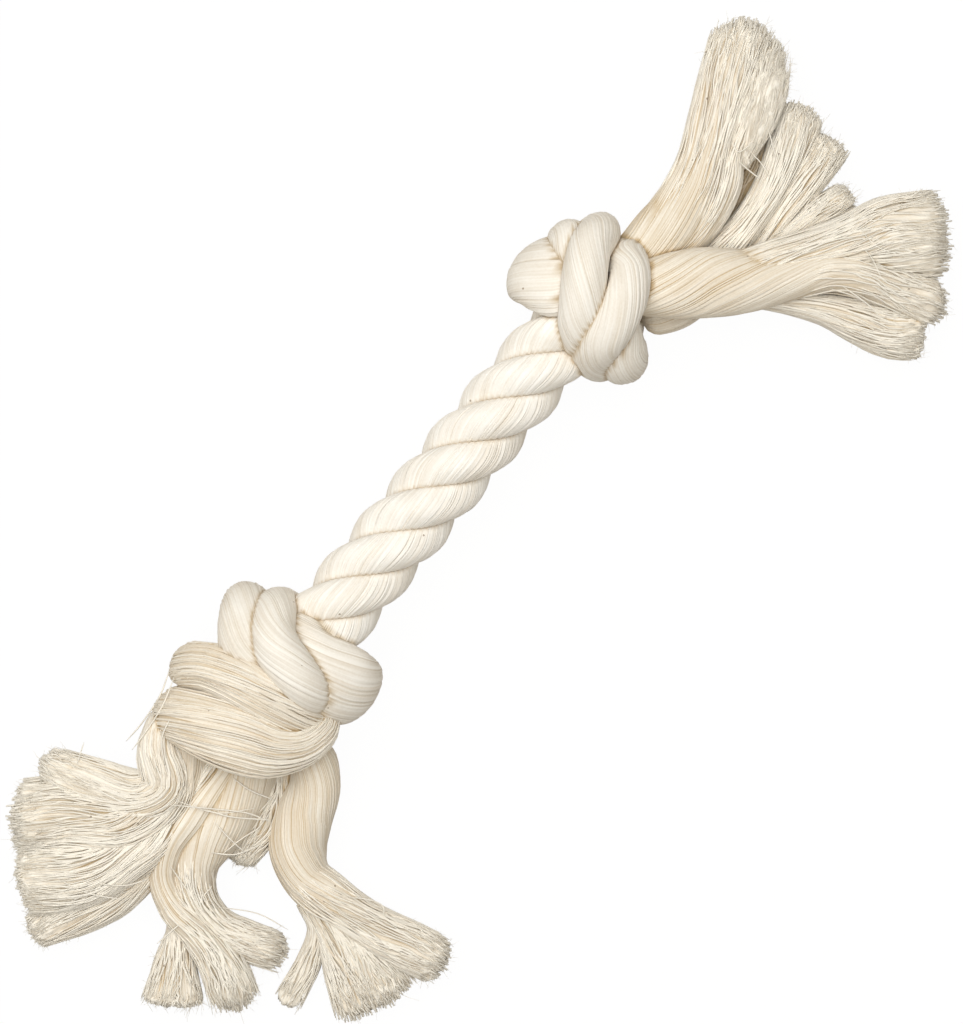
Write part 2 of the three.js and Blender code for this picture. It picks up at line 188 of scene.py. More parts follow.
# A low lock in the cleft between the head's left and middle tassels; its dark tint is painted shade.
HEAD_MIDDLE_CLEFT_SHADE = (
    (34, -13.5, -12, 5, 6), (44, -12.5, -12.5, 7, 6), (53, -10.6, -12.5, 8, 6), (61.5, -8.3, -12.5, 7, 6),
)
HEAD_MIDDLE_LAYER = (
    (22.5, -22, -9.5, 5, 7), (37.5, -26.5, -10, 4.5, 7), (46, -29.5, -9.5, 5.5, 9),
    (54, -31.5, -9.5, 7.5, 10), (62.5, -34.5, -10, 8, 9),
)
HEAD_RIGHT_FAN = (
    (13.5, -12.5, 3.5, 7, 8), (23, -20.8, 3.5, 9, 11), (34, -28.5, 1, 10.5, 12.5),
    (43.5, -35.3, -1.5, 11, 13), (52.5, -42.3, -4.5, 14.5, 15.5), (60, -49, -6.5, 20.5, 16),
    (69.3, -59.6, -8.5, 23.5, 15),
)
HEAD_RIGHT_LOCK = (
    (14, -15.5, 0, 5, 7), (22.5, -26, -2, 6, 8), (29.7, -37, -4.5, 6.5, 9), (35.5, -47.5, -7.5, 8, 11),
    (39.3, -56.7, -9, 11.5, 13), (42.6, -65.5, -9.5, 13.8, 13), (47.1, -71.5, -10.5, 14.5, 12),
)
TAIL_LEFT_SWATH = (
    (-30.5, 17, 2, 8.5, 9), (-38.5, 12.5, 3.5, 11.5, 11), (-45, 6, 2, 13, 12), (-52, 9, 0, 13.5, 12),
    (-57, 19, -3, 14, 12), (-61, 32, -6, 10, 10),
)
TAIL_LEFT_FAN = (
    (-37, 5, -4, 7.5, 9), (-54, -1, -5, 12.5, 14), (-66, 3, -6.5, 17.5, 18), (-78, 10, -7, 21.5, 19),
    (-87.5, 19, -8, 20, 17),
)
TAIL_LEFT_UNDER = (
    (-47.5, 0.5, -9, 7, 8), (-62, -3.5, -9.5, 10, 11), (-75, -2, -10, 12.5, 12),
    (-86.5, 3, -10.5, 12.5, 12), (-97, 8, -11.5, 10, 10),
)
TAIL_MIDDLE_BAND = (
    (-22, -4.8, -1.5, 7, 8), (-34.5, -5, -2, 9, 10), (-46.5, -5, -4, 11.5, 13), (-57, -5.5, -6, 8.5, 13),
    (-65, -9.5, -8, 7.5, 12), (-69, -17, -8.5, 8.5, 12), (-70, -26.5, -9, 10, 12),
    (-73, -36, -9.5, 11.5, 12), (-78, -44, -11, 13, 10),
)
TAIL_MIDDLE_FAN = (
    (-67, -14.5, -11, 5.5, 8), (-73, -21, -11.5, 6, 9), (-80, -25.5, -11.5, 10, 10),
    (-89, -32, -12, 16, 9),
)
TAIL_MIDDLE_TUFT = (
    (-21.5, -14, -7, 10, 9), (-28.5, -16.8, -8.5, 12.5, 10), (-38, -19.5, -10.5, 12.5, 11),
    (-49, -20.5, -12.5, 10, 9),
)
TAIL_RIGHT_FAN = (
    (-21.5, -24.5, -6.5, 8, 9), (-34, -30.5, -9, 10, 11), (-41.2, -37.2, -10.5, 10.5, 12.5),
    (-43.7, -44.5, -10.5, 9.5, 12.5), (-46.5, -53.5, -11, 12.5, 12), (-50.5, -63, -11.5, 17.5, 11),
    (-54.8, -73, -12, 22.5, 10),
)
TAIL_RIGHT_WISP = (
    (-46.5, -42, -9, 4.5, 5), (-50, -49, -11, 4.5, 6), (-58.5, -53, -13.5, 6, 6),
    (-71, -55.5, -15, 7.5, 5),
)
TAIL_LEFT_LINK = (
    (-22, 1.5, -3, 11, 9), (-31, 0.8, -3, 12.5, 11), (-41, 0, -4.5, 13, 12), (-53, 1.5, -8, 13, 13),
    (-63, 4.5, -9, 12, 13),
)

# Stray yarns that lie across the tassels: X and Y of points along each.
TAIL_MIDDLE_STRAYS = (
    ((-48.2, 1.8), (-42.1, -7.5), (-37.2, -15.3), (-35.1, -22)),
    ((-46.1, 1), (-42, -9.4), (-34.8, -16.4)), ((-32.3, -6.9), (-31.8, -12.9), (-30, -18.8)),
    ((-44.3, -10.8), (-45.2, -17), (-45.5, -21.4)),
    ((-50.4, -17.3), (-43.7, -18.7), (-37.9, -20.4), (-32.7, -19)),
    ((-43.5, -5.7), (-40.4, -13), (-34.6, -21.6)), ((-51.1, -14.9), (-47.7, -20), (-41.8, -23.5)),
    ((-24.3, -17.1), (-29.6, -18), (-35.5, -17.9)), ((-61.7, -25.1), (-56.6, -34.3), (-55, -43.3)),
    ((-60.7, -8.9), (-63.1, -16.8), (-64.8, -23.2)), ((-58, -20.6), (-63.2, -20.9), (-64.9, -24.2)),
    ((-79, -19.1), (-74.5, -19.8), (-71, -20.4)),
)
TAIL_LEFT_STRAYS = (
    ((-20.8, 23.6), (-28.2, 21.2), (-36.4, 20.4), (-43, 20.6)), ((-24.3, 21.9), (-32, 21), (-41.8, 20.4)),
    ((-21.4, 21.3), (-29.2, 18.9), (-37.4, 18), (-43.1, 17.8)),
    ((-53.5, 30.5), (-52.8, 26.2), (-50.6, 22)), ((-50.1, 28.9), (-55.4, 26.7)),
    ((-81.4, 11.5), (-79.5, 3.2), (-75.2, -5.1)), ((-86.8, 3.1), (-78.9, -1.2), (-72.4, -4.8)),
    ((-77.2, 5.1), (-72.2, -2.7), (-66.9, -6.7)), ((-30.1, 15.2), (-35.7, 13.5), (-40.5, 8.6)),
    ((-36.4, 6), (-40.1, 2), (-44.6, 0.3)),
)
TAIL_RIGHT_STRAYS = (
    ((-37.6, -50.2), (-34.8, -54.8), (-34.1, -58.7), (-37, -60.6)),
    ((-47.8, -43.8), (-45.7, -50), (-41.6, -57.4)), ((-42.5, -50.3), (-41.2, -59.1), (-41.4, -67.2)),
)
HEAD_LEFT_STRAYS = (
    ((53.4, -2.3), (52.7, -5.3), (57, -6.6)), ((76.6, 19.1), (74.6, 16.7), (70.9, 14.4)),
)
HEAD_MIDDLE_STRAYS = (
    ((62.3, -7.2), (60.1, -10.4), (57.7, -13.8)), ((54.7, -7.8), (54.2, -12.1), (52.5, -16.7)),
    ((50.8, -6.9), (50.8, -10.9), (51, -13.9)), ((43, -28.5), (49.5, -28.7), (55, -30.6), (58.7, -31.6)),
    ((44.6, -29.6), (50.6, -31), (55.4, -31.1), (56.5, -27.4)),
    ((41.5, -25.7), (47.8, -28.6), (55.6, -29.3)), ((45.3, -27.4), (52.2, -28.1), (54.9, -27.5)),
)
HEAD_RIGHT_STRAYS = (
    ((69.3, -46), (72.7, -47.3), (76.3, -48.5)), ((69.3, -47.7), (73.7, -51.3), (75.1, -53.3)),
    ((40.1, -46), (42.8, -52.7), (43.5, -58.4)), ((42.6, -48), (43.3, -56.2), (42.8, -61.4)),
    ((53.5, -41.4), (53.3, -48.9), (50.4, -55.2)), ((57, -41.8), (56.3, -48.7), (59.1, -56)),
)


class Lean(Enum):
    """Which way the thickness of a bundle of yarn points."""

    OUTWARD = "away from the rope's axis"
    UPWARD = "up from the ground"


@dataclass(frozen=True)
class Nodes:
    """Adds nodes to a shader tree."""

    tree: bpy.types.NodeTree

    def feed(self, node: bpy.types.Node, inputs: dict[str | int, Input]) -> None:
        """Links or sets a node's inputs.

        Args:
            node: The node.
            inputs: Its inputs by name or number, each a socket to link or a constant.
        """
        for name, value in inputs.items():
            if isinstance(value, bpy.types.NodeSocket):
                self.tree.links.new(value, node.inputs[name])
            else:
                node.inputs[name].default_value = value

    def add(
        self, kind: str, inputs: dict[str | int, Input] | None = None, **settings: object
    ) -> bpy.types.Node:
        """Adds a node.

        Args:
            kind: The node's type, without the words that all types start with.
            inputs: Its inputs, each a socket to link or a constant.
            settings: Its own settings.

        Returns:
            The node.
        """
        node = self.tree.nodes.new(f"ShaderNode{kind}")
        for name, value in settings.items():
            setattr(node, name, value)
        self.feed(node, inputs or {})
        return node

    def math(self, operation: str, *values: Input, clamped: bool = False) -> bpy.types.NodeSocket:
        """Returns the result of an operation on values."""
        node = self.add("Math", dict(enumerate(values)), operation=operation, use_clamp=clamped)
        return node.outputs["Value"]

    def mix(self, share: Input, first: Input, second: Input) -> bpy.types.NodeSocket:
        """Returns a mix of two colours."""
        node = self.add("Mix", {"Factor": share, "A": first, "B": second}, data_type="RGBA")
        return node.outputs["Result"]

    def noise(self, place: Input, scale: float, detail: float) -> bpy.types.NodeSocket:
        """Returns noise from 0 to 1, with so many features to a unit of place."""
        return self.add("TexNoise", {"Vector": place, "Scale": scale, "Detail": detail}).outputs["Fac"]


class FibreGroup:
    """The shared shader group that mottles cotton and roughs its surface."""

    NAME = "cotton_fibres"
    INPUTS = {
        "Pale": "Color", "Deep": "Color", "Dark": "Color",
        "Tint": "Float", "Streak": "Float", "Lay": "Vector",
    }
    OUTPUTS = {"Color": "Color", "Height": "Float"}
    MOTTLE_SCALE = 90.0
    FIBRE_SCALE = 1500.0
    FLECK_SCALE = 200.0
    FLECK_SIZE = 0.06
    FLECK_SHARE = 0.35
    FLECK_DEPTH = 0.75

    @classmethod
    def tree(cls) -> bpy.types.NodeTree:
        """Returns the group, which is made on its first use."""
        return bpy.data.node_groups.get(cls.NAME) or cls._build()

    @classmethod
    def _build(cls) -> bpy.types.NodeTree:
        """Makes the group, whose colour and bump height vary over the surface.

        Returns:
            The node tree.
        """
        tree = bpy.data.node_groups.new(cls.NAME, "ShaderNodeTree")
        for way, sockets in (("INPUT", cls.INPUTS), ("OUTPUT", cls.OUTPUTS)):
            for name, kind in sockets.items():
                tree.interface.new_socket(name, in_out=way, socket_type=f"NodeSocket{kind}")
        given = tree.nodes.new("NodeGroupInput").outputs
        result = tree.nodes.new("NodeGroupOutput")
        nodes = Nodes(tree)
        place = nodes.add("TexCoord").outputs["Object"]

        fibre = nodes.noise(place, cls.FIBRE_SCALE, 4.0)
        streak = nodes.noise(given["Lay"], 1.0, 3.0)
        blotch = nodes.math("MULTIPLY_ADD", nodes.noise(place, cls.MOTTLE_SCALE, 3.0), 0.5, -0.25)
        grain = nodes.math("MULTIPLY_ADD", fibre, 0.3, -0.15)
        lines = nodes.math("MULTIPLY", nodes.math("SUBTRACT", streak, 0.5), given["Streak"])
        tint = given["Tint"]
        for change in (blotch, grain, lines):
            tint = nodes.math("ADD", tint, change)
        # Below zero the tint runs into the dark colour: painted shade in creases, notches and the deepest
        # valleys.
        above = nodes.math("MAXIMUM", tint, 0.0, clamped=True)
        below = nodes.math("MULTIPLY", tint, -0.8, clamped=True)
        cotton = nodes.mix(below, nodes.mix(above, given["Deep"], given["Pale"]), given["Dark"])

        cells = nodes.add("TexVoronoi", {"Scale": cls.FLECK_SCALE, "Vector": place}).outputs
        near = nodes.math("LESS_THAN", cells["Distance"], cls.FLECK_SIZE)
        chosen = nodes.add("SeparateColor", {"Color": cells["Color"]}).outputs["Red"]
        few = nodes.math("LESS_THAN", chosen, cls.FLECK_SHARE)
        fleck = nodes.math("MULTIPLY", nodes.math("MULTIPLY", near, few), cls.FLECK_DEPTH)
        rough = nodes.math("MULTIPLY_ADD", streak, 2.0, fibre)
        nodes.feed(result, {"Color": nodes.mix(fleck, cotton, given["Dark"]), "Height": rough})
        return tree


@dataclass(frozen=True)
class CottonFinish:
    """A cotton yarn finish: its colours in linear light, its roughness and its fuzz."""

    name: str
    slot: str
    pale: Triple
    deep: Triple
    # The dark colour is both the cotton's own flecks and the painted shade where the tint falls below zero.
    dark: Triple = (0.24, 0.165, 0.095)
    roughness: float = 0.92
    specular: float = 0.2
    sheen: float = 0.12
    bump: float = 0.35
    bump_distance: float = 0.00012
    streak: float = 0.6

    def material(self) -> bpy.types.Material:
        """Returns the material, which is made on its first use."""
        return bpy.data.materials.get(self.name) or self._build()

    def _build(self) -> bpy.types.Material:
        """Makes the material from the shared fibre group and the pieces' own attributes.

        Returns:
            The material.
        """
        material = bpy.data.materials.new(self.name)
        material.use_nodes = True
        nodes = Nodes(material.node_tree)
        colours = {"Pale": self.pale, "Deep": self.deep, "Dark": self.dark}
        inputs = {name: (*colour, 1) for name, colour in colours.items()}
        inputs["Streak"] = self.streak
        inputs["Tint"] = nodes.add("Attribute", attribute_name=TINT).outputs["Fac"]
        inputs["Lay"] = nodes.add("Attribute", attribute_name=LAY).outputs["Vector"]
        fibres = nodes.add("Group", inputs, node_tree=FibreGroup.tree()).outputs
        relief = {"Strength": self.bump, "Distance": self.bump_distance, "Height": fibres["Height"]}
        surface = {
            "Base Color": fibres["Color"],
            "Roughness": self.roughness,
            "Specular IOR Level": self.specular,
            "Sheen Weight": self.sheen,
            "Normal": nodes.add("Bump", relief).outputs["Normal"],
        }
        nodes.feed(material.node_tree.nodes["Principled BSDF"], surface)
        return material


STRAND_COTTON = CottonFinish("strand_yarn", "strand_cotton", (0.94, 0.91, 0.845), (0.62, 0.51, 0.36))
KNOT_COTTON = CottonFinish("knot_yarn", "knot_cotton", (0.875, 0.834, 0.755), (0.56, 0.455, 0.315))
FRAYED_COTTON = CottonFinish(
    "frayed_yarn", "frayed_cotton", (0.888, 0.838, 0.738), (0.572, 0.437, 0.262), streak=0.9
)


def show(name: str, data: bpy.types.ID) -> bpy.types.Object:
    """Puts a mesh, a curve, a camera or a light into the scene.

    Args:
        name: Its name.
        data: The mesh, curve, camera or light.

    Returns:
        Its object.
    """
    data.name = name
    made = bpy.data.objects.new(name, data)
    bpy.context.scene.collection.objects.link(made)
    return made


def dress(piece: bpy.types.Object, finish: CottonFinish) -> None:
    """Gives a piece its finish.

    Args:
        piece: The piece.
        finish: The cotton that it is made of.
    """
    piece.data.materials.clear()
    piece.data.materials.append(finish.material())
    log.info("%s: %d faces in %s", piece.name, len(piece.data.polygons), finish.name)


def winding(share: np.ndarray, twist: Pair, length: float) -> np.ndarray:
    """Finds how far a bundle's yarns have turned about its middle.

    Args:
        share: How far along the route each place lies.
        twist: The twist at the route's start and end, in radians per metre.
        length: The route's length in metres.

    Returns:
        The angles in radians.
    """
    return length * (twist[0] * share + (twist[1] - twist[0]) * share**2 / 2)


@dataclass(frozen=True)
class Sweep:
    """Where a bundle runs at a set of places: its middle, its own axes and its size there."""

    place: np.ndarray
    along: np.ndarray
    across: np.ndarray
    out: np.ndarray
    width: np.ndarray
    thickness: np.ndarray


@dataclass(frozen=True)
class Route:
    """A smooth line through rows about a knot, with the bundle's width and thickness at each."""

    rows: Rows
    centre: np.ndarray
    lean: Lean
    size: Pair = (10.5, 10.5)

    @property
    def length(self) -> float:
        """The length of the line in metres."""
        return length_of(self.sweep(np.linspace(0, 1, 200)).place)

    def sweep(self, share: np.ndarray) -> Sweep:
        """Finds the bundle's middle, axes and size.

        Args:
            share: How far along the route each place lies, from 0 to 1.

        Returns:
            The places, in the frame of the toy.
        """
        rows = np.array([[*row, *self.size] if len(row) == 3 else row for row in self.rows]) / MILLIMETRES
        value, slope = self.spline(rows, share)
        place, along = value[:, :3], self._unit(slope[:, :3])
        if self.lean is Lean.OUTWARD:
            lean = place * (0, 1, 1)
        else:
            lean = np.tile((0.0, 0.0, 1.0), (len(place), 1))
        across = self._unit(np.cross(lean, along))
        out = np.cross(along, across)
        return Sweep(place + self.centre, along, across, out, value[:, 3], value[:, 4])

    @staticmethod
    def _unit(rows: np.ndarray) -> np.ndarray:
        """Returns the rows as unit vectors."""
        return rows / np.maximum(np.linalg.norm(rows, axis=1, keepdims=True), 1e-9)

    @staticmethod
    def spline(rows: np.ndarray, share: np.ndarray) -> tuple[np.ndarray, np.ndarray]:
        """Follows a smooth curve through rows of numbers, and its end slope past the last of them.

        Args:
            rows: The numbers at each point of the curve.
            share: How far along each wanted place lies, from 0 to 1.

        Returns:
            The numbers and their slopes at those places.
        """
        last = len(rows) - 1
        steps = np.clip(share, 0, 1) * last
        first = np.minimum(steps.astype(int), last - 1)
        part = (steps - first)[:, None]
        run = np.vstack([2 * rows[0] - rows[1], rows, 2 * rows[-1] - rows[-2]])
        a, b, c, d = run[first], run[first + 1], run[first + 2], run[first + 3]
        square = 2 * a - 5 * b + 4 * c - d
        cube = 3 * b - a - 3 * c + d
        value = 0.5 * (2 * b + (c - a) * part + square * part**2 + cube * part**3)
        slope = 0.5 * ((c - a) + 2 * square * part + 3 * cube * part**2)
        past = (share - np.clip(share, 0, 1))[:, None] * last
        return value + slope * past, slope


def length_of(path: np.ndarray) -> float:
    """Returns the length of a line through points."""
    return float(np.linalg.norm(np.diff(path, axis=0), axis=1).sum())


class YarnMesh:
    """Turns rows of points into meshes of yarn."""

    LAY_ACROSS = 2.3
    LAY_ALONG = 110
    LAY_SHIFTS = 97
    WELD = 1e-6

    @classmethod
    def wrapped(
        cls, name: str, columns: int, rings: int, points: np.ndarray, tint: np.ndarray, length: float
    ) -> bpy.types.Object:
        """Rolls a grid into a closed bundle.

        Args:
            name: The piece's name.
            columns: How many columns of points run along the bundle.
            rings: How many rings of points lie round it, less one.
            points: The places of the grid's points, ring by ring, seam column twice.
            tint: The tint of each point.
            length: The length of the bundle in metres.

        Returns:
            The piece.
        """
        grid = bmesh.new()
        bmesh.ops.create_grid(grid, x_segments=columns, y_segments=rings, size=0.5)
        mesh = bpy.data.meshes.new(name)
        grid.to_mesh(mesh)
        grid.free()
        flat = np.empty(len(mesh.vertices) * 3, np.float32)
        mesh.vertices.foreach_get("co", flat)
        flat = flat.reshape(-1, 3) + 0.5
        order = np.rint(flat[:, 1] * rings).astype(int) * (columns + 1)
        order += np.rint(flat[:, 0] * columns).astype(int)
        mesh.vertices.foreach_set("co", points[order].astype(np.float32).ravel())
        cls._tint(mesh, tint[order])
        lay = np.zeros((len(flat), 3), np.float32)
        lay[:, 0] = flat[:, 0] * columns / COLUMNS * cls.LAY_ACROSS
        lay[:, 1] = flat[:, 1] * length * cls.LAY_ALONG
        lay[:, 2] = sum(name.encode()) % cls.LAY_SHIFTS
        mesh.attributes.new(LAY, "FLOAT_VECTOR", "POINT").data.foreach_set("vector", lay.ravel())
        rolled = bmesh.new()
        rolled.from_mesh(mesh)
        bmesh.ops.remove_doubles(rolled, verts=rolled.verts, dist=cls.WELD)
        return cls._finished(name, mesh, rolled)

    @classmethod
    def tubes(
        cls, name: str, paths: list[np.ndarray], radii: list[np.ndarray], tints: list[np.ndarray]
    ) -> bpy.types.Object:
        """Makes a thin tube of every path.

        Args:
            name: The piece's name.
            paths: The points of each yarn, yarn by yarn.
            radii: The radius at each of those points.
            tints: The tint at each of those points.

        Returns:
            The piece.
        """
        curve = bpy.data.curves.new(name, "CURVE")
        curve.dimensions = "3D"
        curve.bevel_depth = 1.0
        curve.bevel_resolution = 0
        for path, thick in zip(paths, radii):
            spline = curve.splines.new("POLY")
            spline.points.add(len(path) - 1)
            rows = np.concatenate([path, np.ones((len(path), 1))], axis=1)
            spline.points.foreach_set("co", rows.astype(np.float32).ravel())
            spline.points.foreach_set("radius", thick.astype(np.float32))
        drawn = show(name, curve)
        mesh = bpy.data.meshes.new_from_object(drawn.evaluated_get(bpy.context.evaluated_depsgraph_get()))
        bpy.data.objects.remove(drawn)
        bpy.data.curves.remove(curve)
        tint = np.concatenate(tints)
        around = len(mesh.vertices) // len(tint)
        cls._tint(mesh, np.repeat(tint, around))
        closed = bmesh.new()
        closed.from_mesh(mesh)
        bmesh.ops.holes_fill(closed, edges=[edge for edge in closed.edges if edge.is_boundary], sides=around)
        return cls._finished(name, mesh, closed)

    @staticmethod
    def _tint(mesh: bpy.types.Mesh, tint: np.ndarray) -> None:
        """Gives each point of a mesh its tint."""
        made = mesh.attributes.new(TINT, "FLOAT", "POINT")
        made.data.foreach_set("value", tint.astype(np.float32))

    @staticmethod
    def _finished(name: str, mesh: bpy.types.Mesh, faces: bmesh.types.BMesh) -> bpy.types.Object:
        """Turns faces outward and smooths them.

        Args:
            name: The piece's name.
            mesh: The mesh to put them into.
            faces: The faces.

        Returns:
            The piece.
        """
        bmesh.ops.recalc_face_normals(faces, faces=faces.faces)
        faces.to_mesh(mesh)
        faces.free()
        mesh.shade_smooth()
        return show(name, mesh)


@dataclass
class YarnRows:
    """Yarns side by side on a wrapped grid: the valley beside each, and tints that wander along it."""

    rng: np.random.Generator
    count: int
    uneven: np.ndarray = field(init=False)

    def __post_init__(self) -> None:
        """Draws how deep the valley beside each yarn is: mostly faint, and deep beside a few."""
        self.uneven = self.rng.exponential(1.0, self.count).clip(0.1, 2.6)

    def relief(self, ridge: float) -> np.ndarray:
        """Finds the height of each column of the grid.

        Args:
            ridge: How far the yarns stand out.

        Returns:
            The heights.
        """
        column = np.arange(COLUMNS * self.count + 1) % (COLUMNS * self.count)
        height = np.where(column % COLUMNS == 0, -ridge, 0.0) * self.uneven[column // COLUMNS]
        return height + self.rng.normal(0, ridge / 2, self.count)[column // COLUMNS]

    def tint(
        self,
        rings: int,
        middle: float = 0.85,
        between: float = 0.06,
        valley: float = 0.12,
        along: float = 0.05,
    ) -> np.ndarray:
        """Draws a tint for each point of the grid, with painted shade in the valleys between yarns.

        Args:
            rings: How many rings of points there are.
            middle: The mean tint.
            between: How much the yarns differ.
            valley: How much painted shade darkens the valleys.
            along: How much the tint wanders along a yarn.

        Returns:
            The tints, ring by ring.
        """
        base = self.rng.normal(middle, between, self.count)
        knots = max(4, rings // 12)
        rough = self.rng.normal(0, along, (knots, self.count))
        place = np.linspace(0, knots - 1.001, rings)
        low = place.astype(int)
        part = (place - low)[:, None]
        wander = rough[low] * (1 - part) + rough[np.minimum(low + 1, knots - 1)] * part
        full = np.repeat(base[None, :] + wander, COLUMNS, axis=1)
        # Painted shade: each yarn's valley column is darker, and darker still where the valley is deeper.
        full[:, ::COLUMNS] -= valley * self.uneven
        return np.concatenate([full, full[:, :1]], axis=1)


@dataclass
class RopeStrand:
    """One strand of the laid rope, from knot to knot."""

    number: int
    letter: str
    rope_diameter: float = 0.0215
    lobe_radius: float = 0.0066
    lay_length: float = 0.0447
    lay_phase: float = 0.82
    half_length: float = 0.055
    middle_radius: float = 0.0055
    diameter: float = 0.0112
    yarns: int = 60
    yarn_drift: float = -41.7
    ridge: float = 0.0001
    ridge_from: float = 0.0078
    ridge_fade: float = 0.0012
    ring_step: float = 0.0011
    bend_zone: float = 0.015

    def section(self, share: np.ndarray) -> tuple[np.ndarray, np.ndarray]:
        """Follows the strand's section: a half-round lobe and two flat flanks that meet at the axis.

        Args:
            share: How far round the section each place lies. Whole numbers are the heel.

        Returns:
            The distances along the strand's own radius and square to it.
        """
        lobe_middle = self.rope_diameter / 2 - self.lobe_radius
        flank = (lobe_middle + math.sqrt(4 * self.lobe_radius**2 - 3 * lobe_middle**2)) / 2
        corner = (flank / 2, flank * math.sqrt(3) / 2)
        sweep = math.atan2(corner[1], corner[0] - lobe_middle)
        arc = 2 * sweep * self.lobe_radius
        run = (share % 1.0) * (2 * flank + arc)
        angle = np.clip((run - flank) / self.lobe_radius, 0, 2 * sweep) - sweep
        rise, fall = np.minimum(run, flank) / flank, np.clip((run - flank - arc) / flank, 0, 1)
        on_lobe = (run > flank) & (run < flank + arc)
        p = np.where(on_lobe, lobe_middle + self.lobe_radius * np.cos(angle), corner[0] * (rise - fall))
        side = corner[1] * np.where(fall > 0, 1 - fall, -rise)
        q = np.where(on_lobe, self.lobe_radius * np.sin(angle), side)
        return p, q

    def turn(self, x: np.ndarray) -> np.ndarray:
        """Returns the strand's angle about the rope at places along it."""
        return 2 * math.pi * (x / self.lay_length + self.number / 3) + self.lay_phase

    def path(self) -> np.ndarray:
        """Finds the strand's middle line.

        Returns:
            Points along it, in the frame of the toy.
        """
        x = np.linspace(-self.half_length, self.half_length, 61)
        turn = self.turn(x)
        rows = np.stack([x, self.middle_radius * np.cos(turn), self.middle_radius * np.sin(turn)], axis=1)
        return rows + ROPE_MIDDLE

    def build(self) -> bpy.types.Object:
        """Builds and dresses the strand.

        Returns:
            The piece.
        """
        yarns = YarnRows(np.random.default_rng(10 + self.number), self.yarns)
        columns = COLUMNS * self.yarns
        rings = round(2 * self.half_length / self.ring_step)
        x = np.linspace(-self.half_length, self.half_length, rings + 1)[:, None]
        share = np.arange(columns + 1)[None, :] / columns + self.yarn_drift * x
        p, q = self.section(share)
        shown = np.clip((np.hypot(p, q) - self.ridge_from) / self.ridge_fade, 0, 1)
        grow = 1 + shown * yarns.relief(self.ridge)[None, :] / self.lobe_radius
        turn = self.turn(x)
        y = (p * np.cos(turn) - q * np.sin(turn)) * grow
        z = (p * np.sin(turn) + q * np.cos(turn)) * grow
        points = np.stack([np.broadcast_to(x, y.shape), y, z], axis=2).reshape(-1, 3) + ROPE_MIDDLE
        tint = yarns.tint(rings + 1).ravel()
        name = f"rope_strand_{self.letter}"
        made = YarnMesh.wrapped(name, columns, rings, points, tint, 2 * self.half_length)
        dress(made, STRAND_COTTON)
        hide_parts(*(f"rope_{part}_strand_{self.letter}" for part in ("tail", "middle", "head")))
        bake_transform(made)
        path = self.path()
        return made


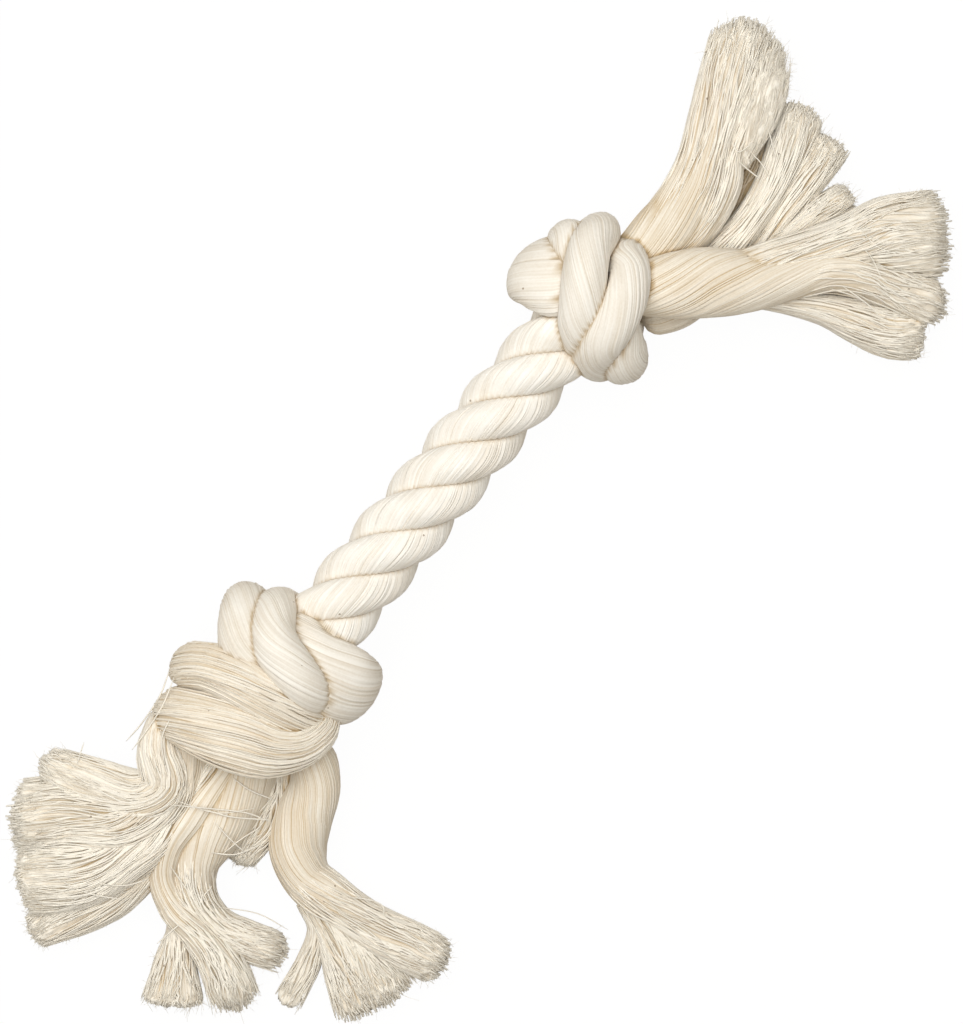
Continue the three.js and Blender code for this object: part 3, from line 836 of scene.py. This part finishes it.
@dataclass
class YarnBundle:
    """A strand or a core of yarn that follows a route, with a ridge for every yarn.

    Past a share of its length, felt, the yarns felt into clumps. A notched bundle ends in a cut face.
    """

    name: str
    route: Route
    finish: CottonFinish
    seed: int
    yarns: int = 54
    twist: Pair = (-70.0, -70.0)
    ridge: float = 0.00011
    lumps: float = 0.0001
    swell: float = 1.0
    rounded: float = 0.06
    reach: Pair = (0.0, 1.0)
    ring_step: float = 0.0012
    tint: float = 0.85
    # The valleys between yarns are darkened: painted shade.
    valley: float = 0.16
    between: float = 0.07
    felt: float = 2.0
    felt_fade: float = 0.3
    felt_share: float = 0.65
    clumps: float = 0.0003
    notched: float = 0.0
    notch_depth: float = 0.03
    petals: int = 9
    face_roughness: float = 0.00035
    cap: int = 8
    clump_turns: tuple[int, ...] = (5, 9, 13, 7)
    clump_waves: tuple[int, ...] = (41, -67, 53, 90)
    # How much the felted tint follows the clumps and cut ends, lighter where they stand out and darker
    # between them: painted light and shade.
    bump_shade: float = 0.1
    face_shade: float = 0.2
    notch_shade: float = 5.0

    def build(self, replaced: Iterable[str] = ()) -> bpy.types.Object:
        """Builds and dresses the bundle.

        Args:
            replaced: The solids that it stands for.

        Returns:
            The piece.
        """
        rng = np.random.default_rng(self.seed)
        yarns = YarnRows(rng, self.yarns)
        columns = COLUMNS * self.yarns
        span = self.reach[1] - self.reach[0]
        rings = max(12, round(self.route.length * span / self.ring_step))
        local = self._places(rings)
        close = self._close(local)
        phase = rng.uniform(0, 2 * math.pi, 4)
        angle = 2 * math.pi * np.arange(columns + 1)[None, :] / columns
        petal = self.petals / 2 * angle + phase[2] + 0.8 * np.sin(2 * angle + phase[3])
        notch = self.notched * (1 - np.abs(np.sin(petal))) * local**6 * close**8
        share = self.reach[0] + span * local * (1 - notch)
        sweep = self.route.sweep(share.ravel())
        angle = angle + winding(share, self.twist, self.route.length)
        height = yarns.relief(self.ridge)
        lump = np.sin(2 * angle + 9 * share + phase[0]) + np.sin(3 * angle - 17 * share + phase[1])
        face = np.where(local > 0.5, 1 - close**3, 0.0) if self.notched else np.zeros_like(local)
        speck = face * rng.normal(0, 1, share.shape)
        speck[:, -1] = speck[:, 0]
        speck[-1] = 0
        felted = np.clip((local - self.felt) / self.felt_fade, 0, 1)
        felted = np.maximum(self.felt_share * felted**2 * (3 - 2 * felted), face)
        clump = (1 - face) * sum(
            np.sin(turns * angle + waves * share + bump)
            for turns, waves, bump in zip(self.clump_turns, self.clump_waves, phase)
        )
        offset = height * (1 - felted) + self.lumps * lump + self.clumps * felted * clump
        offset = offset - self.notch_depth * notch
        wide = (sweep.width.reshape(share.shape) / 2 * self.swell + offset) * close * np.cos(angle)
        thick = (sweep.thickness.reshape(share.shape) / 2 * self.swell + offset) * close * np.sin(angle)
        points = sweep.place + wide.reshape(-1, 1) * sweep.across + thick.reshape(-1, 1) * sweep.out
        points = points + self.face_roughness * speck.reshape(-1, 1) * sweep.along
        points[:, 2] = np.maximum(points[:, 2], GROUND)
        # Painted shade in the valleys, the notches and over the cut face; the felted part runs pale, lighter
        # on raised clumps and cut ends and darker between them, as painted light and shade.
        tint = yarns.tint(rings + 1, self.tint, self.between, self.valley) * (1 - felted)
        tint = tint + (1 - self.face_shade * face + self.bump_shade * clump) * felted
        tint = tint + self.bump_shade * speck - self.notch_shade * notch
        made = YarnMesh.wrapped(self.name, columns, rings, points, tint.ravel(), self.route.length * span)
        dress(made, self.finish)
        if replaced:
            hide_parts(*replaced)
        return made

    def _places(self, rings: int) -> np.ndarray:
        """Places the rings, closer together over the rounded end.

        Args:
            rings: How many there are, less one.

        Returns:
            How far along the bundle each ring lies.
        """
        end = np.sin(np.linspace(0, math.pi / 2, self.cap + 1)[1:])
        local = np.linspace(0, 1 - self.rounded, rings + 1 - self.cap)
        return np.concatenate([local, 1 - self.rounded * (1 - end)])[:, None]

    def _close(self, local: np.ndarray) -> np.ndarray:
        """Returns how open the bundle is along its length: it rounds to a point at both ends."""
        close = np.sqrt(np.clip(1 - np.clip(1 - local / self.rounded, 0, 1) ** 2, 0, 1))
        return close * np.sqrt(np.clip(1 - np.clip(1 - (1 - local) / self.rounded, 0, 1) ** 2, 0, 1))


@dataclass
class YarnSet:
    """Single yarns: the points, the radii and the tints of each."""

    FUZZ_FROM = (0.6, 1.0)
    FUZZ_LENGTH = (0.0005, 0.0017)
    FUZZ_RADIUS = (0.00004, 0.00007)

    paths: list[np.ndarray] = field(default_factory=list)
    radii: list[np.ndarray] = field(default_factory=list)
    tints: list[np.ndarray] = field(default_factory=list)

    def add(
        self, paths: Iterable[np.ndarray], radii: Iterable[np.ndarray], tints: Iterable[np.ndarray]
    ) -> None:
        """Adds yarns, and keeps them off the ground.

        Args:
            paths: The points of each yarn.
            radii: The radius at each of those points.
            tints: The tint at each of those points.
        """
        for path, radius, tint in zip(paths, radii, tints):
            path[:, 2] = np.maximum(path[:, 2], GROUND + radius)
            self.paths.append(path)
            self.radii.append(radius)
            self.tints.append(tint)

    def fuzz(self, rng: np.random.Generator, count: int) -> None:
        """Grows thin fibres out of the outer part of the yarns.

        Args:
            rng: The source of chance.
            count: How many fibres to grow.
        """
        grown: list[np.ndarray] = []
        step = np.linspace(0, 1, 3)[:, None]
        for number in rng.integers(0, len(self.paths), count):
            path = self.paths[number]
            at = rng.uniform(*self.FUZZ_FROM) * (len(path) - 1)
            first = min(int(at), len(path) - 2)
            ahead = path[first + 1] - path[first]
            root = path[first] + ahead * (at - first)
            ahead = ahead / max(float(np.linalg.norm(ahead)), 1e-9)
            aim = ahead * rng.uniform(0.2, 0.9) + rng.normal(0, 0.5, 3) * (1, 1, 0.6)
            curl = rng.normal(0, 0.7, 3) * (1, 1, 0.6)
            grown.append(root + rng.uniform(*self.FUZZ_LENGTH) * (aim * step + curl * step**2))
        radii = [rng.uniform(*self.FUZZ_RADIUS) * np.array((1.0, 0.8, 0.4)) for _ in grown]
        tints = [np.full(3, rng.normal(1.1, 0.1)) for _ in grown]
        self.add(grown, radii, tints)

    def piece(self, name: str) -> bpy.types.Object:
        """Builds and dresses the yarns.

        Args:
            name: The piece's name.

        Returns:
            The piece.
        """
        made = YarnMesh.tubes(name, self.paths, self.radii, self.tints)
        dress(made, FRAYED_COTTON)
        return made


@dataclass
class LooseYarns:
    """Many single yarns that follow a route, gathered into locks."""

    SWAY_WAVES = 1.3
    HEAVE_WAVES = 1.7
    HEAVE = 0.15
    LIFT = 0.2
    THIN_FROM = 0.7
    YARN_TINTS = 0.13
    LOCK_TINTS = 0.06
    ALONG_TINTS = 0.06
    INNER_SHADE = 0.15
    TIP_LIGHT = 0.25

    route: Route
    count: int
    twist: Pair = (-60.0, -5.0)
    depth: Pair = (0.99, 1.015)
    start: Pair = (0.0, 0.02)
    end: float = 1.0
    ragged: float = 0.03
    locks: int = 12
    lock_wave: float = 0.12
    wander: Pair = (0.0002, 0.0010)
    radius: Pair = (0.00018, 0.00028)
    points: int = 15
    rooted: float = 0.12
    rounded: float = 0.0
    taper: float = 0.7
    tint: float = 0.8

    def grow(self, rng: np.random.Generator, yarns: YarnSet) -> None:
        """Adds the yarns to a set.

        Args:
            rng: The source of chance.
            yarns: The set to add to.
        """
        local = np.linspace(0, 1, self.points)[None, :]
        angle = rng.uniform(0, 2 * math.pi, self.count)
        depth = np.sqrt(rng.uniform(self.depth[0] ** 2, self.depth[1] ** 2, self.count))
        lock = angle / (2 * math.pi) * self.locks + rng.normal(0, 0.25, self.count)
        lock = lock.astype(int) % self.locks
        first = rng.uniform(*self.start, self.count)
        last = self.end + rng.normal(0, self.ragged, self.count)
        last = last + rng.normal(0, self.ragged, self.locks)[lock]
        last = last - self.rounded * (1 - np.sqrt(np.clip(1 - depth**2, 0, 1)))
        share = first[:, None] + (last - first)[:, None] * local
        shape = share.shape
        sweep = self.route.sweep(share.ravel())
        phase = rng.uniform(0, 2 * math.pi, (2, self.locks))[:, lock, None]
        sway = self.lock_wave * np.sin(2 * math.pi * self.SWAY_WAVES * share + phase[0])
        heave = 1 + np.sin(2 * math.pi * self.HEAVE_WAVES * share + phase[1])
        heave = 1 + self.lock_wave * self.HEAVE * heave
        rise = 1 - self.rooted * (1 - np.clip(local * 4, 0, 1)) ** 2
        half = np.stack([sweep.width, sweep.thickness], axis=1).reshape(*shape, 2) / 2
        loose = self.wander[0] + (self.wander[1] - self.wander[0]) * np.clip(share, 0, 1) ** 2
        turn = angle[:, None] + sway + winding(share, self.twist, self.route.length)
        turn = turn + loose * self._wobble(rng, shape) / half.mean(axis=2)
        lift = self.LIFT * loose * (1 + self._wobble(rng, shape))
        reach = (depth[:, None] * heave * rise)[:, :, None] * half + lift[:, :, None]
        flat, tall = reach[:, :, 0] * np.cos(turn), reach[:, :, 1] * np.sin(turn)
        paths = sweep.place.reshape(*shape, 3)
        paths = paths + flat[:, :, None] * sweep.across.reshape(*shape, 3)
        paths = paths + tall[:, :, None] * sweep.out.reshape(*shape, 3)
        thin = 1 - self.taper * np.clip((local - self.THIN_FROM) / (1 - self.THIN_FROM), 0, 1)
        radius = rng.uniform(*self.radius, self.count)[:, None] * thin
        shade = rng.normal(self.tint, self.YARN_TINTS, self.count)
        shade = shade + rng.normal(0, self.LOCK_TINTS, self.locks)[lock]
        # Inner yarns are tinted darker: painted shade within the lock.
        shade = shade + self.INNER_SHADE * (np.minimum(depth, 1) - 1)
        # Yarns grow paler toward their tips: painted light.
        tint = shade[:, None] + self.ALONG_TINTS * self._wobble(rng, shape) + self.TIP_LIGHT * local**4
        yarns.add(paths, radius, tint)

    @staticmethod
    def _wobble(rng: np.random.Generator, shape: tuple[int, int]) -> np.ndarray:
        """Makes slow random waves along yarns.

        Args:
            rng: The source of chance.
            shape: How many yarns there are, and points in each.

        Returns:
            Numbers from about -1 to 1.
        """
        local = np.linspace(0, 1, shape[1])[None, :]
        pace = rng.uniform(0.5, 2.2, (2, shape[0], 1))
        phase = rng.uniform(0, 2 * math.pi, (2, shape[0], 1))
        slow = np.sin(2 * math.pi * pace[0] * local + phase[0])
        quick = np.sin(4 * math.pi * pace[1] * local + phase[1])
        return 0.7 * slow + 0.3 * quick


class Relief:
    """Some pieces as they are seen from above and from close by."""

    def __init__(self, pieces: Iterable[bpy.types.Object]) -> None:
        """Takes in the pieces' faces."""
        self.trees = [self._tree(piece) for piece in pieces]

    def height(self, x: float, y: float) -> float:
        """Returns the height of the uppermost piece at a place, or of the ground."""
        hits = [tree.ray_cast(Vector((x, y, 0.2)), Vector((0, 0, -1)))[0] for tree in self.trees]
        return max((hit.z for hit in hits if hit), default=GROUND)

    @staticmethod
    def _tree(piece: bpy.types.Object) -> BVHTree:
        """Takes in a piece's faces.

        Args:
            piece: The piece.

        Returns:
            The faces, ready for finding the nearest.
        """
        faces = bmesh.new()
        faces.from_mesh(piece.data)
        tree = BVHTree.FromBMesh(faces)
        faces.free()
        return tree


@dataclass(frozen=True)
class CreaseShade:
    """Paints shade into the cotton along the lines where pieces press together."""

    # How far the painted shade spreads from a contact, and how dark it gets.
    reach: float = 0.001
    depth: float = 1.2
    own: float = 0.4

    def shade(self, groups: list[list[bpy.types.Object]]) -> None:
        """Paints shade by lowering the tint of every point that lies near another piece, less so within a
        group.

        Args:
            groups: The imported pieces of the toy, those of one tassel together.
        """
        pieces = [piece for group in groups for piece in group]
        owners = [number for number, group in enumerate(groups) for _ in group]
        places = [self._places(piece) for piece in pieces]
        trees = Relief(pieces).trees
        for number, piece in enumerate(pieces):
            near = np.full((2, len(places[number])), self.reach)
            for other, tree in enumerate(trees):
                if other != number:
                    same = int(owners[other] == owners[number])
                    self._measure(places[number], places[other], tree, near[same])
            values = np.empty(len(places[number]), np.float32)
            tint = piece.data.attributes[TINT].data
            tint.foreach_get("value", values)
            close = (1 - near / self.reach) ** 2
            values -= self.depth * np.maximum(close[0], self.own * close[1])
            tint.foreach_set("value", values.astype(np.float32))

    def _measure(self, points: np.ndarray, others: np.ndarray, tree: BVHTree, near: np.ndarray) -> None:
        """Finds how near points lie to another piece.

        Args:
            points: The points.
            others: The other piece's points.
            tree: The other piece's faces.
            near: The least distance so far of each point, which is lowered in place.
        """
        low, high = others.min(axis=0) - self.reach, others.max(axis=0) + self.reach
        for index in np.flatnonzero(((points > low) & (points < high)).all(axis=1)):
            distance = tree.find_nearest(Vector(points[index]), float(near[index]))[3]
            if distance is not None:
                near[index] = min(near[index], distance)

    @staticmethod
    def _places(piece: bpy.types.Object) -> np.ndarray:
        """Reads where a piece's points lie.

        Args:
            piece: The piece.

        Returns:
            Their places.
        """
        flat = np.empty(len(piece.data.vertices) * 3, np.float32)
        piece.data.vertices.foreach_get("co", flat)
        return flat.reshape(-1, 3)


@dataclass
class Rope:
    """The three laid strands between the knots."""

    letters: str = "abc"

    def build(self) -> list[bpy.types.Object]:
        """Returns the strands, each built as one length."""
        return [RopeStrand(number, letter).build() for number, letter in enumerate(self.letters)]


@dataclass
class Knot:
    """A knot of one end: its turns, bights, yarn wraps and core, which ride on half of the rope."""

    end: str
    centre: np.ndarray
    turns: dict[str, Rows]
    core: Rows
    wraps: dict[str, Rows]
    seed: int
    turn_size: Pair = (11.8, 11.6)
    wrap_twist: Pair = (-45.0, -45.0)

    def build(self) -> list[bpy.types.Object]:
        """Builds every piece of the knot and makes it ride.

        Returns:
            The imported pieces, without the loose yarns.
        """
        made: list[bpy.types.Object] = []
        loose: list[bpy.types.Object] = []
        for number, (name, rows) in enumerate(self.turns.items()):
            route = Route(rows, self.centre, Lean.OUTWARD, self.turn_size)
            node = f"{self.end}_knot_{name}"
            made.append(YarnBundle(f"{node}_cotton", route, KNOT_COTTON, self.seed + number).build([node]))
        # The core is tinted dark: painted shade where it shows between the turns.
        route = Route(self.core, self.centre, Lean.UPWARD)
        node = f"{self.end}_knot_core"
        core = YarnBundle(f"{node}_cotton", route, KNOT_COTTON, self.seed + 20, tint=0.3)
        made.append(core.build([node]))
        for number, (name, rows) in enumerate(self.wraps.items()):
            middle, yarns = self._wrap(f"{self.end}_knot_{name}", rows, self.seed + 30 + 5 * number)
            made.append(middle)
            loose.append(yarns)
        for piece in made + loose:
            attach(piece, f"{self.end}_half")
        return made

    def _wrap(self, node: str, rows: Rows, seed: int) -> tuple[bpy.types.Object, bpy.types.Object]:
        """Builds a wrap of unlaid yarn.

        Args:
            node: The name of the wrap's solid.
            rows: Its route.
            seed: The seed of its yarns.

        Returns:
            Its packed middle and its loose yarns.
        """
        route = Route(rows, self.centre, Lean.OUTWARD)
        middle = YarnBundle(
            f"{node}_middle", route, FRAYED_COTTON, seed, twist=self.wrap_twist,
            ridge=0.0002, swell=0.99, yarns=72, valley=0.4, tint=0.68, between=0.12,
        )
        yarns = YarnSet()
        LooseYarns(
            route, 110, twist=self.wrap_twist, depth=(0.965, 1.0), ragged=0.01, locks=9, lock_wave=0.16,
            wander=(0.0002, 0.0003), points=30, tint=0.78,
        ).grow(np.random.default_rng(seed + 1), yarns)
        return middle.build([node]), yarns.piece(f"{node}_yarns")


@dataclass(frozen=True)
class Lock:
    """One lock of a tassel: its route, how many yarns it has and how they lie."""

    rows: Rows
    count: int
    start: Pair = (0.0, 0.3)
    twist: Pair = (-30.0, 0.0)
    swell: float = 0.98
    ragged: float = 0.015
    tint: float = 0.94
    fuzz: int = 380
    end: float = 0.975
    packed: bool = True
    felt: float = 0.7
    radius: Pair = (0.00016, 0.00026)


@dataclass
class Tassel:
    """A frayed strand end: a twisted root that runs into locks of loose yarn, and its strays."""

    end: str
    side: str
    centre: np.ndarray
    rows: Rows
    locks: tuple[Lock, ...]
    strays: tuple[Rows, ...]
    seed: int
    twist: Pair = (-60.0, 0.0)
    swing_zone: float = 0.009
    reach: Pair = (0.0, 1.02)
    stray_points: int = 22
    stray_droop: float = 0.25
    stray_lift: Pair = (0.0003, 0.0008)
    stray_radius: Pair = (0.00015, 0.0002)

    @property
    def node(self) -> str:
        """The name of the brush's solid."""
        return f"{self.end}_tassel_{self.side}"

    def build(self, beneath: list[bpy.types.Object]) -> list[bpy.types.Object]:
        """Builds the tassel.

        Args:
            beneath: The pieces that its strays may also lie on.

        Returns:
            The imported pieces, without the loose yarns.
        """
        rng = np.random.default_rng(self.seed)
        root = YarnBundle(
            f"{self.node}_root_cotton", Route(self.rows, self.centre, Lean.UPWARD), FRAYED_COTTON, self.seed,
            twist=self.twist, ridge=0.00016, swell=0.98, reach=self.reach, valley=0.34, yarns=84, tint=0.68,
            felt=0.72, notched=0.02,
        )
        made = [root.build([self.node, f"{self.node}_root"])]
        yarns = YarnSet()
        for number, lock in enumerate(self.locks):
            route = Route(lock.rows, self.centre, Lean.UPWARD)
            self._grow(lock, route, rng, yarns)
            if lock.packed:
                made.append(self._middle(lock, route, number))
        self._lay(Relief(beneath + made), rng, yarns)
        for piece in [*made, yarns.piece(f"{self.node}_yarns")]:
            self.swing(piece)
        return made

    def _middle(self, lock: Lock, route: Route, number: int) -> bpy.types.Object:
        """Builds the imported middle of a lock.

        Args:
            lock: The lock.
            route: Its route.
            number: Its number in the tassel.

        Returns:
            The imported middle.
        """
        # The packed middle is tinted darker than the lock's loose yarns: painted shade in the gaps between
        # them.
        return YarnBundle(
            f"{self.node}_lock_{number}", route, FRAYED_COTTON, self.seed + 5 + number, twist=lock.twist,
            ridge=0.0002, valley=0.5, between=0.14, swell=lock.swell, reach=self.reach, yarns=52,
            tint=lock.tint - 0.2, felt=lock.felt, notched=0.025,
        ).build()

    @staticmethod
    def _grow(lock: Lock, route: Route, rng: np.random.Generator, yarns: YarnSet) -> None:
        """Adds a lock's loose yarns, the yarn ends in its cut face and its fuzz to the tassel's yarns.

        Args:
            lock: The lock.
            route: Its route.
            rng: The source of chance.
            yarns: The tassel's yarns.
        """
        grown = YarnSet()
        LooseYarns(
            route, lock.count, twist=lock.twist, start=lock.start, end=lock.end, ragged=lock.ragged,
            radius=lock.radius, tint=lock.tint,
        ).grow(rng, grown)
        LooseYarns(
            route, int(1.5 * lock.count), twist=lock.twist, start=(0.86, 0.92), end=1.032, ragged=0.006,
            depth=(0.05, 0.97), points=5, radius=(0.00022, 0.00036), tint=lock.tint, rounded=0.061,
            wander=(0.0002, 0.0005), taper=0.3,
        ).grow(rng, grown)
        grown.fuzz(rng, lock.fuzz)
        yarns.add(grown.paths, grown.radii, grown.tints)

    def _lay(self, relief: Relief, rng: np.random.Generator, yarns: YarnSet) -> None:
        """Lays the stray yarns over the pieces beneath them.

        Args:
            relief: Those pieces.
            rng: The source of chance.
            yarns: The tassel's yarns, which the strays are added to.
        """
        share = np.linspace(0, 1, self.stray_points)
        thin = np.minimum(1, 0.3 + 4 * np.minimum(share, share[::-1]))
        for stray in self.strays:
            flat = Route.spline(np.array(stray) / MILLIMETRES, share)[0] + self.centre[:2]
            height = np.array([relief.height(*place) for place in flat])
            if height.max() <= GROUND:
                continue
            lift = np.maximum.reduce([height[:-2], height[1:-1], height[2:]])
            lift = np.convolve(np.pad(lift, 2, mode="edge"), (0.25, 0.5, 0.25), mode="valid")
            droop = self.stray_droop * length_of(flat) / (len(flat) - 1)
            for way in (lift, lift[::-1]):
                for number in range(1, len(way)):
                    way[number] = max(way[number], way[number - 1] - droop)
            path = np.column_stack([flat, lift + rng.uniform(*self.stray_lift)])
            radius = rng.uniform(*self.stray_radius) * thin
            yarns.add([path], [radius], [np.full(len(path), rng.normal(1.15, 0.1))])

    def swing(self, piece: bpy.types.Object) -> None:
        """Bakes a piece's placement into its mesh.

        Args:
            piece: A piece of this tassel.
        """
        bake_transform(piece)


@dataclass
class Wisp:
    """The thin loose wisp beside the tail's right tassel, which it rides with."""

    node: str = "tail_tassel_right_wisp"
    body: str = "tail_right_tassel"
    twist: Pair = (-20.0, 0.0)
    seed: int = 360

    def build(self) -> None:
        """Builds the wisp's packed middle and its loose yarns."""
        route = Route(TAIL_RIGHT_WISP, TAIL_KNOT, Lean.UPWARD)
        middle = YarnBundle(
            f"{self.node}_middle", route, FRAYED_COTTON, self.seed, yarns=30, twist=self.twist,
            valley=0.4, between=0.12, swell=0.9, felt=0.6, notched=0.06, petals=5,
        ).build([self.node])
        yarns = YarnSet()
        loose = LooseYarns(route, 60, twist=self.twist, end=0.95, tint=0.94)
        loose.grow(np.random.default_rng(self.seed + 1), yarns)
        for piece in (middle, yarns.piece(f"{self.node}_yarns")):
            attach(piece, self.body)


@dataclass
class Studio:
    """The plain white floor, the soft light and the camera straight above the toy."""

    camera_height: float = 1.2
    frame_height: float = 0.26624
    sensor: float = 0.036
    turn: float = -50.6
    aim: Pair = (-0.0001, -0.013)
    floor_size: float = 6.0
    floor_colour: Triple = (0.6, 0.57, 0.52)
    floor_glow: float = 1.03
    glow_share: float = 0.94
    key_place: Triple = (0.05, 0.3, 1.45)
    key_size: float = 1.8
    key_power: float = 30.5
    sky: float = 0.25
    fill: Triple = (1.0, 0.95, 0.86)

    def build(self) -> None:
        """Builds the floor, the light and the camera."""
        self._camera()
        self._floor()
        self._key()
        self._sky()
        bpy.context.scene.view_settings.view_transform = "Standard"

    def _camera(self) -> None:
        """Puts the camera where the photograph was taken from."""
        lens = bpy.data.cameras.new("camera")
        lens.sensor_width = self.sensor * 1000
        lens.lens = self.sensor * 1000 * self.camera_height / self.frame_height
        lens.clip_end = 20.0
        camera = show("camera", lens)
        camera.location = ROPE_MIDDLE + (*self.aim, self.camera_height)
        camera.rotation_euler = (0, 0, math.radians(self.turn))
        bpy.context.scene.camera = camera

    def _floor(self) -> None:
        """Lays a white floor that the camera sees mostly by its own light, so the shadow stays faint."""
        plane = bmesh.new()
        bmesh.ops.create_grid(plane, x_segments=1, y_segments=1, size=self.floor_size / 2)
        mesh = bpy.data.meshes.new("floor")
        plane.to_mesh(mesh)
        plane.free()
        material = bpy.data.materials.new("white_floor")
        material.use_nodes = True
        material.node_tree.nodes.clear()
        nodes = Nodes(material.node_tree)
        ray = nodes.add("LightPath").outputs
        seen = nodes.math("MAXIMUM", ray["Is Camera Ray"], ray["Is Glossy Ray"])
        seen = nodes.math("MAXIMUM", seen, ray["Is Transmission Ray"])
        share = nodes.math("MULTIPLY", seen, self.glow_share)
        matt = nodes.add("BsdfDiffuse", {"Color": (*self.floor_colour, 1)}).outputs["BSDF"]
        glow = nodes.add("Emission", {"Strength": self.floor_glow}).outputs["Emission"]
        mix = nodes.add("MixShader", {"Fac": share, 1: matt, 2: glow})
        nodes.add("OutputMaterial", {"Surface": mix.outputs["Shader"]})
        mesh.materials.append(material)
        show("floor", mesh)

    def _key(self) -> None:
        """Hangs a soft square light that faces the toy."""
        data = bpy.data.lights.new("key", "AREA")
        data.size = self.key_size
        data.energy = self.key_power
        light = show("key", data)
        light.location = ROPE_MIDDLE + np.array(self.key_place)
        light.rotation_euler = (-Vector(self.key_place)).to_track_quat("-Z", "Y").to_euler()

    def _sky(self) -> None:
        """Fills the room with even light, white where it is seen."""
        world = bpy.data.worlds.new("studio")
        bpy.context.scene.world = world
        world.use_nodes = True
        world.node_tree.nodes.clear()
        nodes = Nodes(world.node_tree)
        ray = nodes.add("LightPath").outputs["Is Camera Ray"]
        even = nodes.add("Background", {"Color": (*self.fill, 1), "Strength": self.sky}).outputs["Background"]
        white = nodes.add("Background", {"Color": (1, 1, 1, 1)}).outputs["Background"]
        mix = nodes.add("MixShader", {"Fac": ray, 1: even, 2: white})
        nodes.add("OutputWorld", {"Surface": mix.outputs["Shader"]})


def knots() -> list[Knot]:
    """Lists the knots.

    Returns:
        The head's knot and the tail's.
    """
    head = {"turn_a": HEAD_TURN_A, "turn_b": HEAD_TURN_B, "turn_c": HEAD_TURN_C, "bight": HEAD_BIGHT}
    tail = {"turn_a": TAIL_TURN_A, "turn_b": TAIL_TURN_B, "bight": TAIL_BIGHT}
    wraps = {"yarn_wrap_a": TAIL_WRAP_A, "yarn_wrap_b": TAIL_WRAP_B}
    return [
        Knot("head", HEAD_KNOT, head, HEAD_CORE, {}, 100),
        Knot("tail", TAIL_KNOT, tail, TAIL_CORE, wraps, 200),
    ]


def tassels() -> list[Tassel]:
    """Lists the tassels with their locks.

    Returns:
        The six tassels.
    """
    slack = (-8.0, 0.0)
    return [
        Tassel(
            "head", "right", HEAD_KNOT, HEAD_RIGHT,
            (
                Lock(HEAD_RIGHT, 60, start=(0.5, 0.8), tint=0.98, packed=False),
                Lock(HEAD_RIGHT_FAN, 200, start=(0.2, 0.6)),
                Lock(HEAD_RIGHT_LOCK, 130, start=(0.1, 0.5), end=0.95),
            ),
            HEAD_RIGHT_STRAYS, 300, twist=(-84.0, -8.0),
        ),
        Tassel(
            "head", "left", HEAD_KNOT, HEAD_LEFT,
            (
                Lock(HEAD_LEFT, 140, start=(0.25, 0.6), packed=False),
                Lock(HEAD_LEFT_OUTER, 110, start=(0.35, 0.6)),
                Lock(HEAD_LEFT_FOLD, 110, start=(0.2, 0.5)),
                Lock(
                    HEAD_LEFT_FELT, 260, tint=0.98, felt=-0.3, radius=(0.00005, 0.0001), ragged=0.1, fuzz=700
                ),
            ),
            HEAD_LEFT_STRAYS, 310, twist=(-34.0, 0.0),
        ),
        Tassel(
            "head", "middle", HEAD_KNOT, HEAD_MIDDLE,
            (
                Lock(HEAD_MIDDLE, 200, start=(0.2, 0.5), twist=slack, packed=False),
                Lock(HEAD_MIDDLE_TIPS, 140, tint=0.9, twist=slack),
                Lock(HEAD_MIDDLE_LAYER, 90, tint=0.92, twist=slack),
                # The cleft lock's dark tint is painted shade.
                Lock(HEAD_MIDDLE_CLEFT_SHADE, 50, tint=0.25, fuzz=60, twist=slack),
            ),
            HEAD_MIDDLE_STRAYS, 320, twist=(-20.0, 0.0),
        ),
        Tassel(
            "tail", "left", TAIL_KNOT, TAIL_LEFT,
            (
                Lock(TAIL_LEFT, 230, start=(0.2, 0.5), tint=0.98, packed=False),
                Lock(TAIL_LEFT_FAN, 230, tint=0.98),
                Lock(TAIL_LEFT_UNDER, 140, tint=0.9),
                Lock(TAIL_LEFT_LINK, 60, tint=0.9),
                Lock(TAIL_LEFT_SWATH, 130, tint=0.98),
            ),
            TAIL_LEFT_STRAYS, 330, twist=(-20.0, 0.0),
        ),
        Tassel(
            "tail", "right", TAIL_KNOT, TAIL_RIGHT,
            (
                Lock(TAIL_RIGHT, 120, start=(0.4, 0.7), packed=False),
                Lock(TAIL_RIGHT_FAN, 190, start=(0.3, 0.6)),
            ),
            TAIL_RIGHT_STRAYS, 340, twist=(-56.0, 0.0),
        ),
        Tassel(
            "tail", "middle", TAIL_KNOT, TAIL_MIDDLE,
            (
                Lock(TAIL_MIDDLE, 110, start=(0.4, 0.7), packed=False),
                Lock(TAIL_MIDDLE_BAND, 90, start=(0.5, 0.8), tint=0.95),
                Lock(TAIL_MIDDLE_FAN, 110, tint=0.9),
                # The tuft is tinted darker: painted shade in the tangle between the tail's middle and right
                # roots.
                Lock(TAIL_MIDDLE_TUFT, 130, tint=0.8),
            ),
            TAIL_MIDDLE_STRAYS, 350, twist=(-50.0, 0.0),
        ),
    ]


def main() -> None:
    """Builds the studio and every piece of the toy in order."""
    logging.basicConfig(level=logging.INFO, format="%(name)s: %(message)s")
    Studio().build()
    groups = [Rope().build()]
    for knot in knots():
        groups += [[piece] for piece in knot.build()]
    for tassel in tassels():
        groups.append(tassel.build([piece for group in groups for piece in group]))
    # Painted shade along the creases between pieces.
    CreaseShade().shade(groups)
    Wisp().build()


if __name__ == "__main__":
    main()
